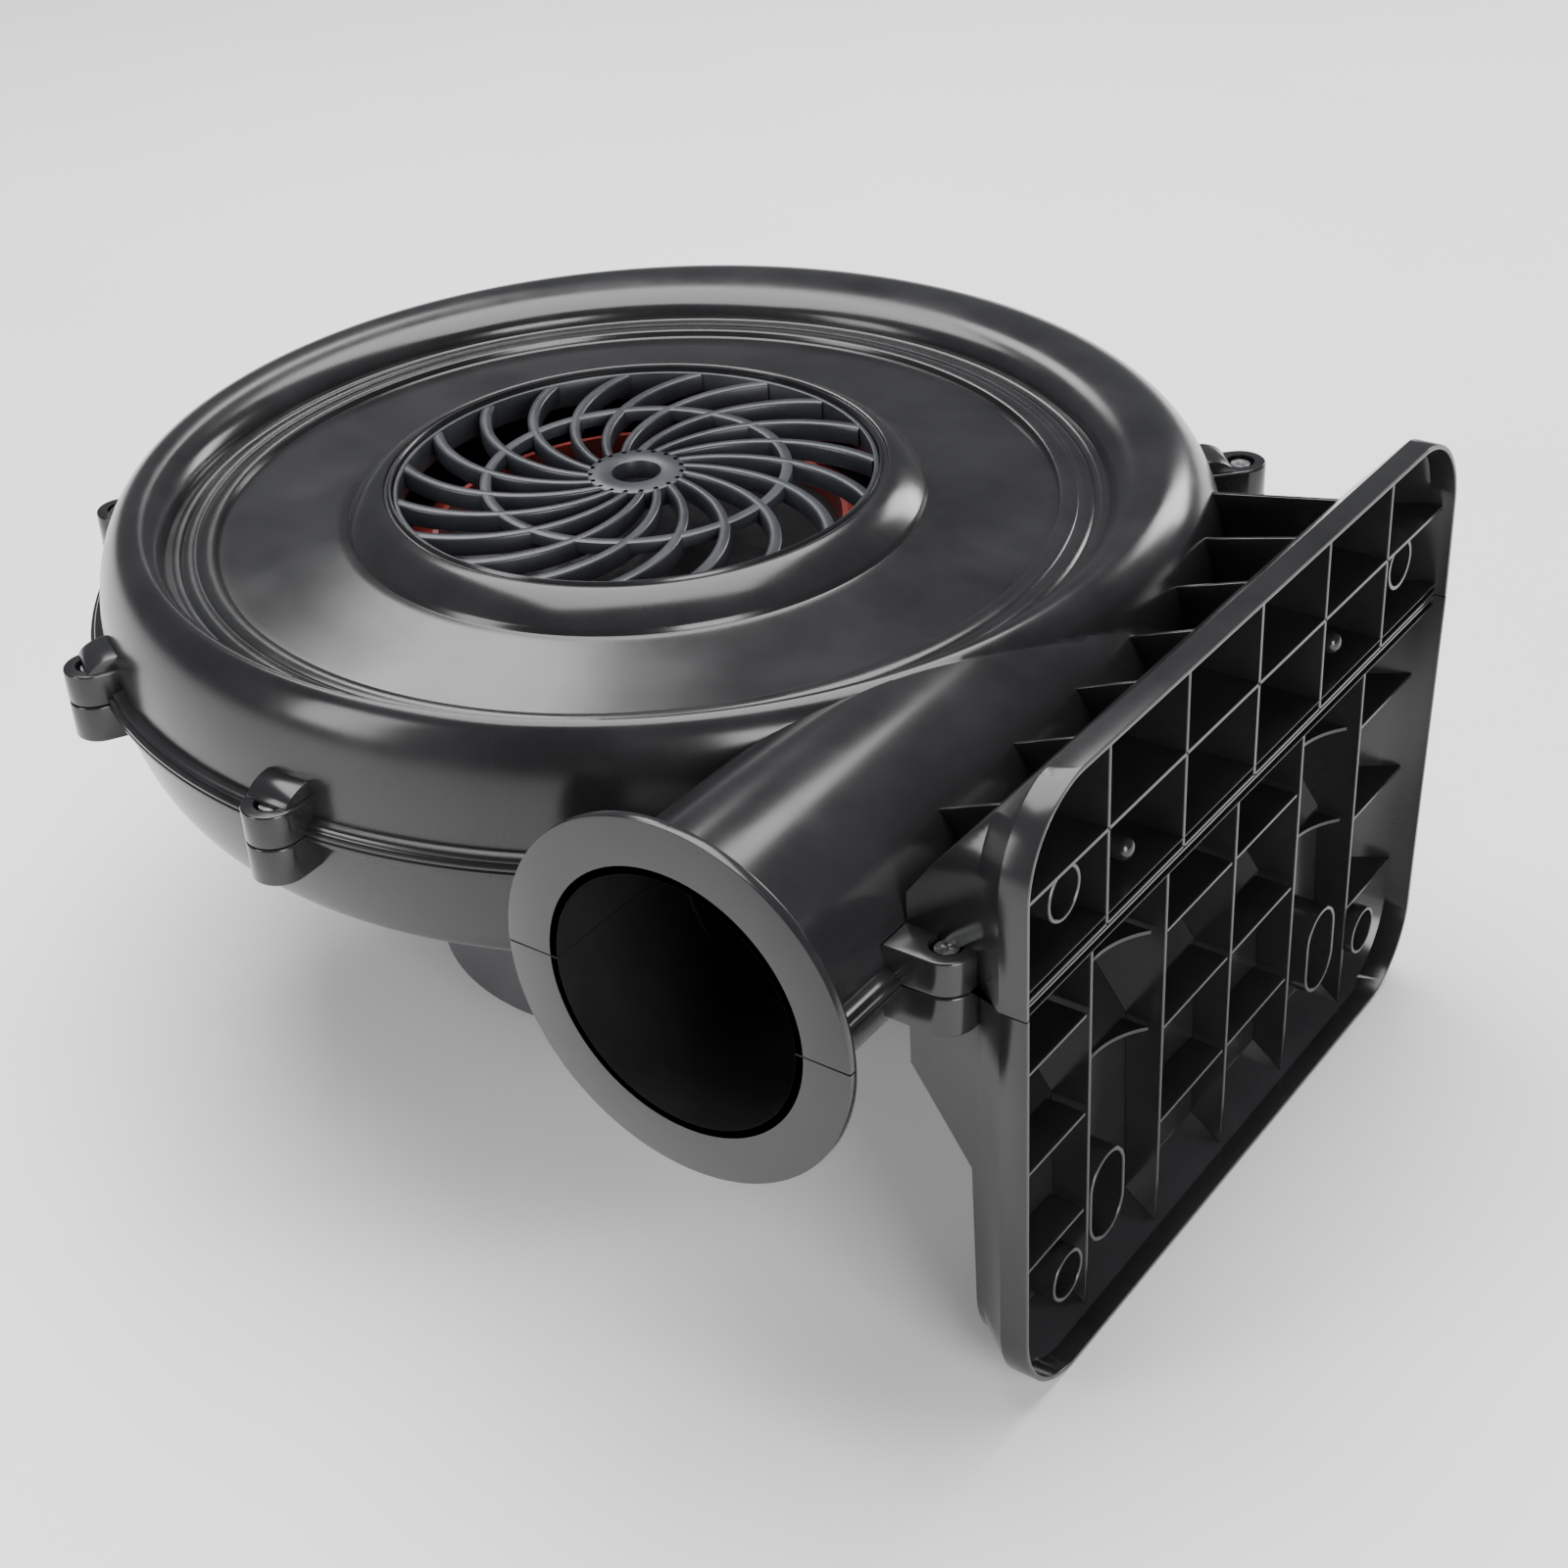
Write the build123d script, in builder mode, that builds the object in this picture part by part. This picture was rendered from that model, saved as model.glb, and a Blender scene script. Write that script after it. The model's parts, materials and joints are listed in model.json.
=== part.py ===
"""Centrifugal blower: two moulded shells with a round outlet and a ribbed foot plate,
a spiral intake grille, and a capacitor-run motor that drives a closed impeller.

Frame: origin at the centre of the motor cover's flat end face, +Z along the rotor axis
towards the intake grille, +X towards the foot plate, -Y the way the air leaves.
All sizes are in millimetres.
"""
from math import atan2, cos, degrees, hypot, radians, sin, sqrt
import os

from build123d import *

os.makedirs("parts", exist_ok=True)

# ---- driving dimensions -------------------------------------------------------------
SEAM = 161.0            # height of the plane where the two shells meet
WALL = 3.0              # shell wall

# volute: an eccentric drum whose rounded shoulder is widest at the back
VOLUTE_X, VOLUTE_Y = -9.4, 26.2
VOLUTE_R = 237.2
SHOULDER = 29.7         # how far the crest circle is smaller than the wall
SHOULDER_SHARE = 0.563  # how far the crest centre moves back towards the rotor axis
CREST = 52.6            # crest above the seam
FLOOR_DEPTH = 48.0      # outside of the floor below the seam
DISC_R = 193.0          # where the volute meets the flat disc
DISC_H = 41.0

# outlet tube and flange
OUTLET_X = 186.0
OUTLET_R = 52.0
BORE_R = OUTLET_R - WALL
SOCKET_DEPTH = 69.0     # the bore takes the hose this far, then steps in
TUBE_R = BORE_R - 1.0
FLANGE_Y = -225.8
FLANGE_R = 70.2
FLANGE_T = 4.0
BEND_Y = -20.0          # where the straight tube starts to wrap round the volute
BEND_ANGLE = 45.0

# intake
INTAKE_R = 100.0
COLLAR_H = 56.0

# seam ridge and screw bosses
RIDGE_X, RIDGE_Y, RIDGE_R = -6.0, 29.0, 243.5
BOSS_CIRCLE_R = 249.6
BOSS_ANGLES = (-121.3, -154.0, 173.0, 140.5, 108.0, 75.0, 44.0)
FRONT_BOSS = (-0.5, -220.5)
FOOT_BOSS = (255.0, -167.0)
BOSS_R = 9.0
BOSS_UP, BOSS_DOWN = 14.0, 16.0

# foot plate
FOOT_X = 289.5
RIM_DEPTH = 10.5
FOOT_NEAR, FOOT_FAR = -174.0, 158.0
FOOT_TOP, FOOT_BOTTOM = 79.0, -179.0
FOOT_WALL = 2.0
RIB = 1.6
RIB_Y = [-113.5 + 54.4 * i for i in range(5)]
UPPER_RIB_X, LOWER_RIB_X = 285.0, 279.5
UPPER_RIB_H = 39.3
LOWER_RIB_H = (-38.3, -82.2, -127.1)
FOOT_BOSSES = ((-139.0, 27.7), (121.5, 29.2), (-133.5, -144.1), (115.0, -143.6))
FOOT_BOSS_R, FOOT_BOSS_HOLE_R, FOOT_BOSS_X = 10.5, 9.0, 283.0
RACETRACKS = ((-98.8, -133.0), (79.9, -133.0))
POSTS = ((-88.0, 14.0), (75.0, 15.0))
GUSSET_Y = (-124.0, -75.0, -31.0, 12.0, 55.0, 96.5, 134.0)

# motor cover
COVER_R = 104.0
COVER_WALL = 2.6
COVER_TOP = SEAM - FLOOR_DEPTH
COVER_SCREW_CIRCLE = 95.5
MOTOR_SCREW_CIRCLE = 52.0

# impeller
IMPELLER_R = 165.0
EYE_R = 84.0
BACKPLATE_Z = SEAM - 24.0
BLADES = 9

# motor
SHAFT_R = 6.0
STATOR_R = 72.0
STATOR_BORE = 40.2
ROTOR_R = 39.8
BEARING_OD, BEARING_ID, BEARING_W = 17.5, 7.5, 11.0


def volute_levels(shrink, lift, depth):
    """Circles (height, x, y, r) up the wall and over the rounded shoulder to the crest."""
    levels = []
    for step in range(0, 91, 15):
        lean = 1 - cos(radians(step))
        share = 1 - SHOULDER_SHARE * lean
        height = lift + (depth - lift) * sin(radians(step))
        levels.append((height, VOLUTE_X * share, VOLUTE_Y * share,
                       VOLUTE_R - shrink - SHOULDER * lean))
    return levels


def loft_circles(levels):
    """A smooth solid through a stack of horizontal circles, carried straight down to the seam."""
    with BuildPart() as stack:
        for height, x, y, r in levels:
            with BuildSketch(Plane.XY.offset(SEAM + height)):
                with Locations((x, y)):
                    Circle(r)
        loft()
        first, x, y, r = levels[0]
        with BuildSketch(Plane.XY.offset(SEAM)):
            with Locations((x, y)):
                Circle(r)
        extrude(amount=first)
    return stack.part


def dished(drum, duct, shrink, drop):
    """The drum and the duct together, with the disc's dish cut into their top."""
    with BuildPart() as dish:
        add(drum)
        add(duct)
        with BuildSketch(Plane.XZ):
            with BuildLine():
                Polyline((0, SEAM + DISC_H - drop), (-DISC_R - shrink, SEAM + DISC_H - drop),
                         (-DISC_R - shrink - 7.5, SEAM + CREST + 3), (0, SEAM + CREST + 3), close=True)
            make_face()
        revolve(axis=Axis.Z, mode=Mode.SUBTRACT)
    return dish.part


def below(levels):
    """The same circles on the other side of the seam."""
    return [(-height, x, y, r) for height, x, y, r in levels]


def outlet_duct(radius, domed):
    """Straight outlet tube and the arc that leads into it."""
    path_r = OUTLET_X - VOLUTE_X
    end = (VOLUTE_X + path_r * cos(radians(BEND_ANGLE)), BEND_Y + path_r * sin(radians(BEND_ANGLE)), SEAM)
    outward = (cos(radians(BEND_ANGLE)), sin(radians(BEND_ANGLE)), 0)
    along = (sin(radians(BEND_ANGLE)), -cos(radians(BEND_ANGLE)), 0)
    end_plane = Plane(origin=end, x_dir=outward, z_dir=along)
    with BuildPart() as duct:
        with BuildSketch(Plane.XZ.offset(-BEND_Y)):
            with Locations((OUTLET_X, SEAM)):
                Circle(radius)
        extrude(amount=BEND_Y - FLANGE_Y)
        with BuildSketch(Plane.XZ.offset(-BEND_Y)):
            with Locations((OUTLET_X, SEAM)):
                Circle(radius)
        revolve(axis=Axis((VOLUTE_X, BEND_Y, SEAM), (0, 0, 1)), revolution_arc=BEND_ANGLE)
        if domed:
            # the outside of the arc dies away in a dome
            with BuildSketch(end_plane):
                Circle(radius)
                with Locations((radius, 0)):
                    Rectangle(2 * radius, 2 * radius, mode=Mode.SUBTRACT)
            revolve(axis=Axis(end_plane.origin, (0, 0, 1)), revolution_arc=180)
    return duct.part


def skin_x(y, height):
    """Where the outer skin stands on the foot side, at a given y and height from the seam."""
    rise = max(height - 4, 0) / (CREST - 4)
    lean = 1 - sqrt(1 - rise ** 2)
    share = 1 - SHOULDER_SHARE * lean
    drum_r = VOLUTE_R - SHOULDER * lean
    drum = VOLUTE_X * share + sqrt(drum_r ** 2 - (y - VOLUTE_Y * share) ** 2)
    reach = sqrt(OUTLET_R ** 2 - height ** 2)
    if y < BEND_Y:
        return max(drum, OUTLET_X + reach)
    bend_r = OUTLET_X - VOLUTE_X + reach
    return max(drum, VOLUTE_X + sqrt(bend_r ** 2 - (y - BEND_Y) ** 2))


# ---- shared forms for the two shells --------------------------------------------------
outlet_outside = outlet_duct(OUTLET_R, True)
outlet_inside = outlet_duct(TUBE_R, False)
upper_outside = dished(loft_circles(volute_levels(0, 4, CREST)), outlet_outside, 0, 0)
upper_inside = dished(loft_circles(volute_levels(WALL, 4, CREST - WALL)), outlet_inside, WALL, WALL)
lower_drum = loft_circles(below(volute_levels(0, 4, FLOOR_DEPTH)))
lower_room = loft_circles(below(volute_levels(WALL, 4, FLOOR_DEPTH - WALL)))

# foot plate: side profile of the tray and its outline seen from the front
BACK_PROFILE = ((FOOT_X, 79.0), (279.5, 78.5), (246.5, 39.5), (237.0, 26.0), (237.0, -45.0),
                (262.0, -80.0), (264.0, -165.0), (279.0, -178.5), (FOOT_X, -179.0))


def tray_profile(inset):
    """The tray's side profile, with its back moved inwards by the wall."""
    points = []
    for x, h in BACK_PROFILE:
        lower = min(h, FOOT_TOP - inset)
        points.append((x + (inset if x < FOOT_X else 1.0), SEAM + max(lower, FOOT_BOTTOM + inset)))
    return points


def foot_outline(inset, x, corner):
    """The foot's rounded outline at one depth; its far edge leans in below the seam."""
    near, far = FOOT_NEAR + inset, FOOT_FAR - inset
    top, bottom = FOOT_TOP - inset, FOOT_BOTTOM + inset
    with BuildSketch(Plane.YZ.offset(x)) as outline:
        with BuildLine():
            Polyline((near, SEAM + top), (far, SEAM + top), (far, SEAM),
                     (far - 9, SEAM + bottom), (near, SEAM + bottom), close=True)
        make_face()
        corners = outline.vertices().filter_by(lambda v: abs(v.Z - SEAM) > 10)
        fillet(corners, corner)
    return outline.sketch


def foot_block(inset):
    """The solid outline of the tray: a rim band in front of a tapering pan."""
    with BuildPart() as block:
        add(foot_outline(inset, FOOT_X - RIM_DEPTH, 36 - inset))
        extrude(amount=RIM_DEPTH + (1.0 if inset else 0.0), dir=(1, 0, 0))
        add(foot_outline(inset, FOOT_X - RIM_DEPTH, 36 - inset))
        add(foot_outline(inset + 9, 266 - inset, 30 - inset))
        loft(ruled=True)
        add(foot_outline(inset + 9, 266 - inset, 30 - inset))
        add(foot_outline(inset + 11, 232, 28 - inset))
        loft(ruled=True)
        with BuildSketch(Plane.XZ.offset(-FOOT_FAR - 5)):
            with BuildLine():
                Polyline(*tray_profile(inset), close=True)
            make_face()
        extrude(amount=FOOT_FAR - FOOT_NEAR + 10, mode=Mode.INTERSECT)
    return block.part


foot_outside = foot_block(0)
foot_inside = foot_block(FOOT_WALL)


def foot_ribs(upper):
    """Ribs, screw bosses and posts inside one half of the tray."""
    top_x = UPPER_RIB_X if upper else LOWER_RIB_X
    sign = 1 if upper else -1
    span = (FOOT_TOP if upper else -FOOT_BOTTOM) * sign
    depth = 60.0
    with BuildPart() as ribs:
        for y in RIB_Y:
            with Locations((top_x - depth / 2, y, SEAM + span / 2)):
                Box(depth, RIB, abs(span))
        for height, thick in ((RIB / 2, RIB), (4.6, 0.8)):
            with Locations((UPPER_RIB_X - depth / 2, 0, SEAM + sign * height)):
                Box(depth, 400, thick)
        if upper:
            with Locations((top_x - depth / 2, 0, SEAM + UPPER_RIB_H)):
                Box(depth, 400, RIB)
        else:
            edges = [FOOT_NEAR] + RIB_Y + [FOOT_FAR]
            for column in range(6):
                y0, y1 = edges[column], edges[column + 1]
                for level, height in enumerate(LOWER_RIB_H):
                    if column in (1, 4) and level == 2:
                        continue
                    with Locations((top_x - depth / 2, (y0 + y1 - 3) / 2, SEAM + height)):
                        Box(depth, y1 - y0 - 3, RIB)
                    if column in (1, 4):
                        with Locations((top_x + 22, (y0 + y1) / 2, SEAM + height)):
                            Cylinder(36, 6, mode=Mode.SUBTRACT)
            for y, height in RACETRACKS:
                with BuildSketch(Plane.YZ.offset(top_x - 20)):
                    with Locations((y, SEAM + height)):
                        SlotOverall(40, 26, rotation=90)
                        SlotOverall(36.6, 22.6, rotation=90, mode=Mode.SUBTRACT)
                extrude(amount=20)
        for y, height in FOOT_BOSSES:
            if (height > 0) != upper:
                continue
            with BuildSketch(Plane.YZ.offset(FOOT_BOSS_X - 45)):
                with Locations((y, SEAM + height)):
                    Circle(FOOT_BOSS_R)
            extrude(amount=45)
        if upper:
            for y, height in POSTS:
                with Locations(Location((257, y, SEAM + height), (0, 90, 0))):
                    Cylinder(4.5, 40)
                with Locations((277, y, SEAM + height)):
                    Sphere(4.5)
        add(foot_inside, mode=Mode.INTERSECT)
        for y, height in FOOT_BOSSES:
            if (height > 0) != upper:
                continue
            with BuildSketch(Plane.YZ.offset(FOOT_BOSS_X)):
                with Locations((y, SEAM + height)):
                    Circle(FOOT_BOSS_HOLE_R)
            extrude(amount=-14, mode=Mode.SUBTRACT)
    return ribs.part


def boss_places():
    """Seam screws: (x, y, outward angle, reach back into the wall)."""
    spots = [(RIDGE_X + BOSS_CIRCLE_R * cos(radians(a)), RIDGE_Y + BOSS_CIRCLE_R * sin(radians(a)))
             for a in BOSS_ANGLES]
    spots.append(FRONT_BOSS)
    places = []
    for x, y in spots:
        angle = degrees(atan2(y - VOLUTE_Y, x - VOLUTE_X))
        places.append((x, y, angle, hypot(x - VOLUTE_X, y - VOLUTE_Y) - VOLUTE_R + 1.5))
    places.append((FOOT_BOSS[0], FOOT_BOSS[1], 0.0, FOOT_BOSS[0] - OUTLET_X - OUTLET_R + 1.5))
    return places


def seam_ridge(sign):
    """Ridge that stands out along the seam, on the volute and beside the tube."""
    with BuildPart() as ridge:
        with BuildSketch(Plane.XY.offset(SEAM)):
            with Locations((RIDGE_X, RIDGE_Y)):
                Circle(RIDGE_R)
            with Locations((OUTLET_X, (FLANGE_Y + BEND_Y) / 2)):
                Rectangle(2 * OUTLET_R + 10, BEND_Y - FLANGE_Y)
            with Locations((VOLUTE_X, VOLUTE_Y)):
                Circle(VOLUTE_R - WALL / 2, mode=Mode.SUBTRACT)
            with Locations((OUTLET_X, (FLANGE_Y + BEND_Y) / 2 - 20)):
                Rectangle(2 * OUTLET_R - WALL, BEND_Y - FLANGE_Y + 60, mode=Mode.SUBTRACT)
            with Locations((OUTLET_X, BEND_Y)):
                Rectangle(2 * OUTLET_R - WALL, 80, mode=Mode.SUBTRACT)
        extrude(amount=4.5 * sign)
    return ridge.part


def flange_half(sign):
    with BuildPart() as flange:
        with BuildSketch(Plane.XZ.offset(-FLANGE_Y)):
            with Locations((OUTLET_X, SEAM)):
                Circle(FLANGE_R)
                Circle(BORE_R, mode=Mode.SUBTRACT)
            with Locations((OUTLET_X, SEAM - sign * 50)):
                Rectangle(200, 100, mode=Mode.SUBTRACT)
        extrude(amount=-FLANGE_T)
    return flange.part


def seam_bosses(upper):
    """Screw bosses on blocks that reach into the wall."""
    sign = 1 if upper else -1
    height = BOSS_UP if upper else BOSS_DOWN
    with BuildPart() as bosses:
        for x, y, angle, back in boss_places():
            with BuildSketch(Plane.XY.offset(SEAM)):
                with Locations((x, y)):
                    Circle(BOSS_R + 2)
                with Locations(Location((x, y, 0), (0, 0, angle))):
                    with Locations((-back / 2, 0)):
                        Rectangle(back, 2 * BOSS_R + 4)
            extrude(amount=sign * height)
    return bosses.part


def boss_holes(upper):
    """Screw holes, with a round recess for each head or a hexagonal one for each nut."""
    with BuildPart() as holes:
        for x, y, _, _ in boss_places():
            with Locations((x, y, SEAM)):
                Cylinder(2.3, 60)
            if upper:
                with Locations((x, y, SEAM + BOSS_UP)):
                    Cylinder(6.2, 8)
            else:
                with BuildSketch(Plane.XY.offset(SEAM - BOSS_DOWN - 4)):
                    with Locations((x, y)):
                        RegularPolygon(4.15, 6, major_radius=False)
                extrude(amount=9)
    return holes.part


def hose_socket():
    """The wider first length of the outlet bore."""
    with BuildPart() as socket:
        with BuildSketch(Plane.XZ.offset(-FLANGE_Y)):
            with Locations((OUTLET_X, SEAM)):
                Circle(BORE_R)
        extrude(amount=-SOCKET_DEPTH)
    return socket.part


def gussets(sign):
    """Thin plates between the volute and the back of the foot."""
    with BuildPart() as plates:
        for y in GUSSET_Y:
            heights = (0, 9, 18, 27)
            with BuildSketch(Plane.XZ.offset(-y - 1)):
                with BuildLine():
                    Polyline(*[(skin_x(y, h) - WALL / 2, SEAM + sign * h) for h in heights],
                             (246.0, SEAM + sign * (38 if sign > 0 else 27)), (238.5, SEAM), close=True)
                make_face()
            extrude(amount=2)
    return plates.part


def half_space(sign):
    with BuildPart() as half:
        with Locations((0, 0, SEAM + sign * 150)):
            Box(900, 900, 300)
    return half.part


def foot_half(upper):
    sign = 1 if upper else -1
    with BuildPart() as half:
        add(foot_outside)
        add(foot_inside, mode=Mode.SUBTRACT)
        add(foot_ribs(upper))
        add(half_space(sign), mode=Mode.INTERSECT)
    return half.part


# ---- upper shell -----------------------------------------------------------------------
with BuildPart() as upper_shell:
    add(upper_outside)
    add(upper_inside, mode=Mode.SUBTRACT)
    add(half_space(1), mode=Mode.INTERSECT)
    # the disc inside the volute, with its collar round the intake
    with BuildSketch(Plane.XY.offset(SEAM + DISC_H - 8)):
        Circle(DISC_R - 4.5)
    extrude(amount=30, mode=Mode.SUBTRACT)
    with BuildSketch(Plane.XZ):
        with BuildLine():
            Polyline((190.5, SEAM + 40.4), (188, SEAM + 40.4), (187, SEAM + 41.2), (173, SEAM + 41.6),
                     (172.6, SEAM + 38.5), (119.6, SEAM + 42.5), (119, SEAM + 43.8), (112, SEAM + 51.5),
                     (106, SEAM + 55), (103.5, SEAM + 55.5), (103.2, SEAM + 54.2), (101.6, SEAM + 54.2),
                     (101.4, SEAM + COLLAR_H), (INTAKE_R, SEAM + COLLAR_H), (INTAKE_R, SEAM + 44),
                     (102.6, SEAM + 44), (102.6, SEAM + 50), (106, SEAM + 51.5), (111, SEAM + 47.5),
                     (117, SEAM + 40), (172, SEAM + 35.4), (174, SEAM + 38.6), (190.5, SEAM + 38.6), close=True)
        make_face()
    revolve(axis=Axis.Z)
    add([seam_ridge(1), flange_half(1), seam_bosses(True), gussets(1), foot_half(True)])
    add([boss_holes(True), hose_socket()], mode=Mode.SUBTRACT)
upper_shell.part.label = "upper_shell"
export_step(upper_shell.part, "parts/upper_shell.step")

# ---- lower shell -----------------------------------------------------------------------
with BuildPart() as lower_shell:
    add(lower_drum)
    add(outlet_outside)
    add(lower_room, mode=Mode.SUBTRACT)
    add(outlet_inside, mode=Mode.SUBTRACT)
    add(half_space(-1), mode=Mode.INTERSECT)
    # shaft hole, motor screws and bosses for the motor cover
    with Locations((0, 0, COVER_TOP)):
        Cylinder(16.0, 20, mode=Mode.SUBTRACT)
    with PolarLocations(MOTOR_SCREW_CIRCLE, 4, 45):
        with Locations((0, 0, COVER_TOP)):
            Cylinder(2.7, 20, mode=Mode.SUBTRACT)
    with BuildSketch(Plane.XY.offset(COVER_TOP + 1)):
        with PolarLocations(COVER_SCREW_CIRCLE, 4, 45):
            Circle(5.6)
    extrude(amount=-13)
    with BuildSketch(Plane.XY.offset(COVER_TOP - 12)):
        with PolarLocations(COVER_SCREW_CIRCLE, 4, 45):
            Circle(1.9)
    extrude(amount=12, mode=Mode.SUBTRACT)
    add([seam_ridge(-1), flange_half(-1), seam_bosses(False), gussets(-1), foot_half(False)])
    add([boss_holes(False), hose_socket()], mode=Mode.SUBTRACT)
lower_shell.part.label = "lower_shell"
export_step(lower_shell.part, "parts/lower_shell.step")

# ---- intake grille ---------------------------------------------------------------------
VANES = 19
VANE_TOP = SEAM + 53.3
VANE_DEPTH = 8.0
GRILLE_R = 99.9


def polar(r, angle):
    return (r * cos(radians(angle)), r * sin(radians(angle)))


def vane_edge(side):
    """One long edge of a vane, from the rim to the hub."""
    points = []
    for r, angle, half in ((98.8, -22.0, 2.75), (62.0, 0.0, 2.4), (18.0, 30.0, 1.85)):
        shift = degrees(side * half / r)
        points.append(polar(r, angle + shift))
    return points


with BuildPart() as intake_grille:
    with BuildSketch(Plane.XY.offset(VANE_TOP - VANE_DEPTH)) as vanes:
        for index in range(VANES):
            with BuildSketch(Plane.XY.rotated((0, 0, 1.0 + 360 / VANES * index)), mode=Mode.PRIVATE) as vane:
                left, right = vane_edge(-1), vane_edge(1)
                with BuildLine():
                    ThreePointArc(*left)
                    Line(left[2], right[2])
                    ThreePointArc(*right)
                    Line(right[0], left[0])
                make_face()
            add(vane.sketch)
        Circle(20.4)
        Circle(10.0, mode=Mode.SUBTRACT)
    extrude(amount=VANE_DEPTH)
    with BuildSketch(Plane.XY.offset(VANE_TOP - 5)):
        Circle(64.5)
        Circle(59.5, mode=Mode.SUBTRACT)
    extrude(amount=5)
    with BuildSketch(Plane.XY.offset(SEAM + 42)):
        Circle(GRILLE_R)
        Circle(97.6, mode=Mode.SUBTRACT)
    extrude(amount=VANE_TOP - SEAM - 42)
    with PolarLocations(100.6, 6, 15):
        with Locations((0, 0, SEAM + 42.9)):
            Box(2.6, 14, 1.8)
intake_grille.part.label = "intake_grille"
export_step(intake_grille.part, "parts/intake_grille.step")

# ---- seam screws and their captive nuts ------------------------------------------------
with BuildPart() as seam_screws:
    for x, y, _, _ in boss_places():
        with Locations((x, y, SEAM + BOSS_UP - 2.6)):
            Cylinder(4.2, 2.8)
        with Locations((x, y, SEAM + BOSS_UP - 1.0)):
            Box(4.4, 1.1, 1.2, mode=Mode.SUBTRACT)
            Box(1.1, 4.4, 1.2, mode=Mode.SUBTRACT)
        with Locations((x, y, SEAM - 2.5)):
            Cylinder(2.0, 25)
seam_screws.part.label = "seam_screws"
export_step(seam_screws.part, "parts/seam_screws.step")

with BuildPart() as seam_nuts:
    with BuildSketch(Plane.XY.offset(SEAM - BOSS_DOWN + 1.8)):
        for x, y, _, _ in boss_places():
            with Locations((x, y)):
                RegularPolygon(4.0, 6, major_radius=False)
                Circle(2.02, mode=Mode.SUBTRACT)
    extrude(amount=3.2)
seam_nuts.part.label = "seam_nuts"
export_step(seam_nuts.part, "parts/seam_nuts.step")

# ---- motor cover -----------------------------------------------------------------------
CORD_Z = 60.0
CORD_HOLE_R = 8.0
PAD_X = -106.0

with BuildPart() as motor_cover:
    with BuildSketch(Plane.XZ):
        with BuildLine():
            Polyline((0, 0), (COVER_R - 3, 0), (COVER_R, 3), (COVER_R, COVER_TOP),
                     (COVER_R - COVER_WALL, COVER_TOP), (COVER_R - COVER_WALL, 3), (0, 3), close=True)
        make_face()
    revolve(axis=Axis.Z)
    # columns for the four long screws
    with BuildSketch(Plane.XY.offset(1)):
        with PolarLocations(COVER_SCREW_CIRCLE, 4, 45):
            Circle(6.4)
    extrude(amount=COVER_TOP - 13.2)
    # flat pad at the cord entry and two ribs that carry the terminal block
    with Locations((PAD_X + 4, 0, CORD_Z)):
        Box(8, 28, 28)
    with Locations((-98, 16, CORD_Z), (-98, -16, CORD_Z)):
        Box(8, 4, 14)
    with Locations(Location((PAD_X, 0, CORD_Z), (0, 90, 0))):
        Cylinder(CORD_HOLE_R, 30, mode=Mode.SUBTRACT)
    # cooling air slots in the end face and in the wall
    with BuildSketch() as slots:
        with PolarLocations(66, 16, 11.25):
            SlotOverall(34, 6)
    extrude(amount=4, mode=Mode.SUBTRACT)
    with PolarLocations(COVER_R - 2, 10, 45, 150):
        with Locations((0, 0, 24)):
            Box(12, 7, 22, mode=Mode.SUBTRACT)
    with BuildSketch(Plane.XY):
        with PolarLocations(COVER_SCREW_CIRCLE, 4, 45):
            Circle(4.6)
    extrude(amount=86, mode=Mode.SUBTRACT)
    with BuildSketch(Plane.XY):
        with PolarLocations(COVER_SCREW_CIRCLE, 4, 45):
            Circle(2.4)
    extrude(amount=COVER_TOP, mode=Mode.SUBTRACT)
motor_cover.part.label = "motor_cover"
export_step(motor_cover.part, "parts/motor_cover.step")

with BuildPart() as cover_screws:
    with PolarLocations(COVER_SCREW_CIRCLE, 4, 45):
        with Locations((0, 0, 84.4)):
            Cylinder(4.0, 3.2)
        with Locations((0, 0, 83.2)):
            Box(4.4, 1.1, 1.6, mode=Mode.SUBTRACT)
            Box(1.1, 4.4, 1.6, mode=Mode.SUBTRACT)
        with Locations((0, 0, 98)):
            Cylinder(1.9, 24)
cover_screws.part.label = "cover_screws"
export_step(cover_screws.part, "parts/cover_screws.step")

CORD_BORE_R = 4.2
with BuildPart() as cord_grommet:
    with BuildSketch(Plane.YZ.offset(PAD_X)):
        with Locations((0, CORD_Z)):
            Circle(CORD_HOLE_R)
    extrude(amount=8)
    for start in (PAD_X - 3, PAD_X + 8):
        with BuildSketch(Plane.YZ.offset(start)):
            with Locations((0, CORD_Z)):
                Circle(11)
        extrude(amount=3)
    with BuildSketch(Plane.YZ.offset(PAD_X - 3)):
        with Locations((0, CORD_Z)):
            Circle(CORD_BORE_R)
    extrude(amount=14, mode=Mode.SUBTRACT)
cord_grommet.part.label = "cord_grommet"
export_step(cord_grommet.part, "parts/cord_grommet.step")

with BuildPart() as terminal_block:
    with Locations((-88, 0, CORD_Z)):
        Box(12, 36, 16)
    for y in (-11, 0, 11):
        with Locations((-83.5, y, CORD_Z)):
            Box(3.2, 8, 17, mode=Mode.SUBTRACT)
terminal_block.part.label = "terminal_block"
export_step(terminal_block.part, "parts/terminal_block.step")

with BuildPart() as terminal_screws:
    with Locations(*[Location((-83.5, y, CORD_Z), (0, 90, 0)) for y in (-11, 0, 11)]):
        Cylinder(2.8, 3)
terminal_screws.part.label = "terminal_screws"
export_step(terminal_screws.part, "parts/terminal_screws.step")

# ---- motor ------------------------------------------------------------------------------
FRONT_FACE = COVER_TOP
STATOR_LOW, STATOR_HIGH = 48.0, 90.0
EAR_CIRCLE = 77.0
SLOTS = 24
REAR_FACE = 24.0
REAR_BEARING, FRONT_BEARING = 26.5, 97.0

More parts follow.
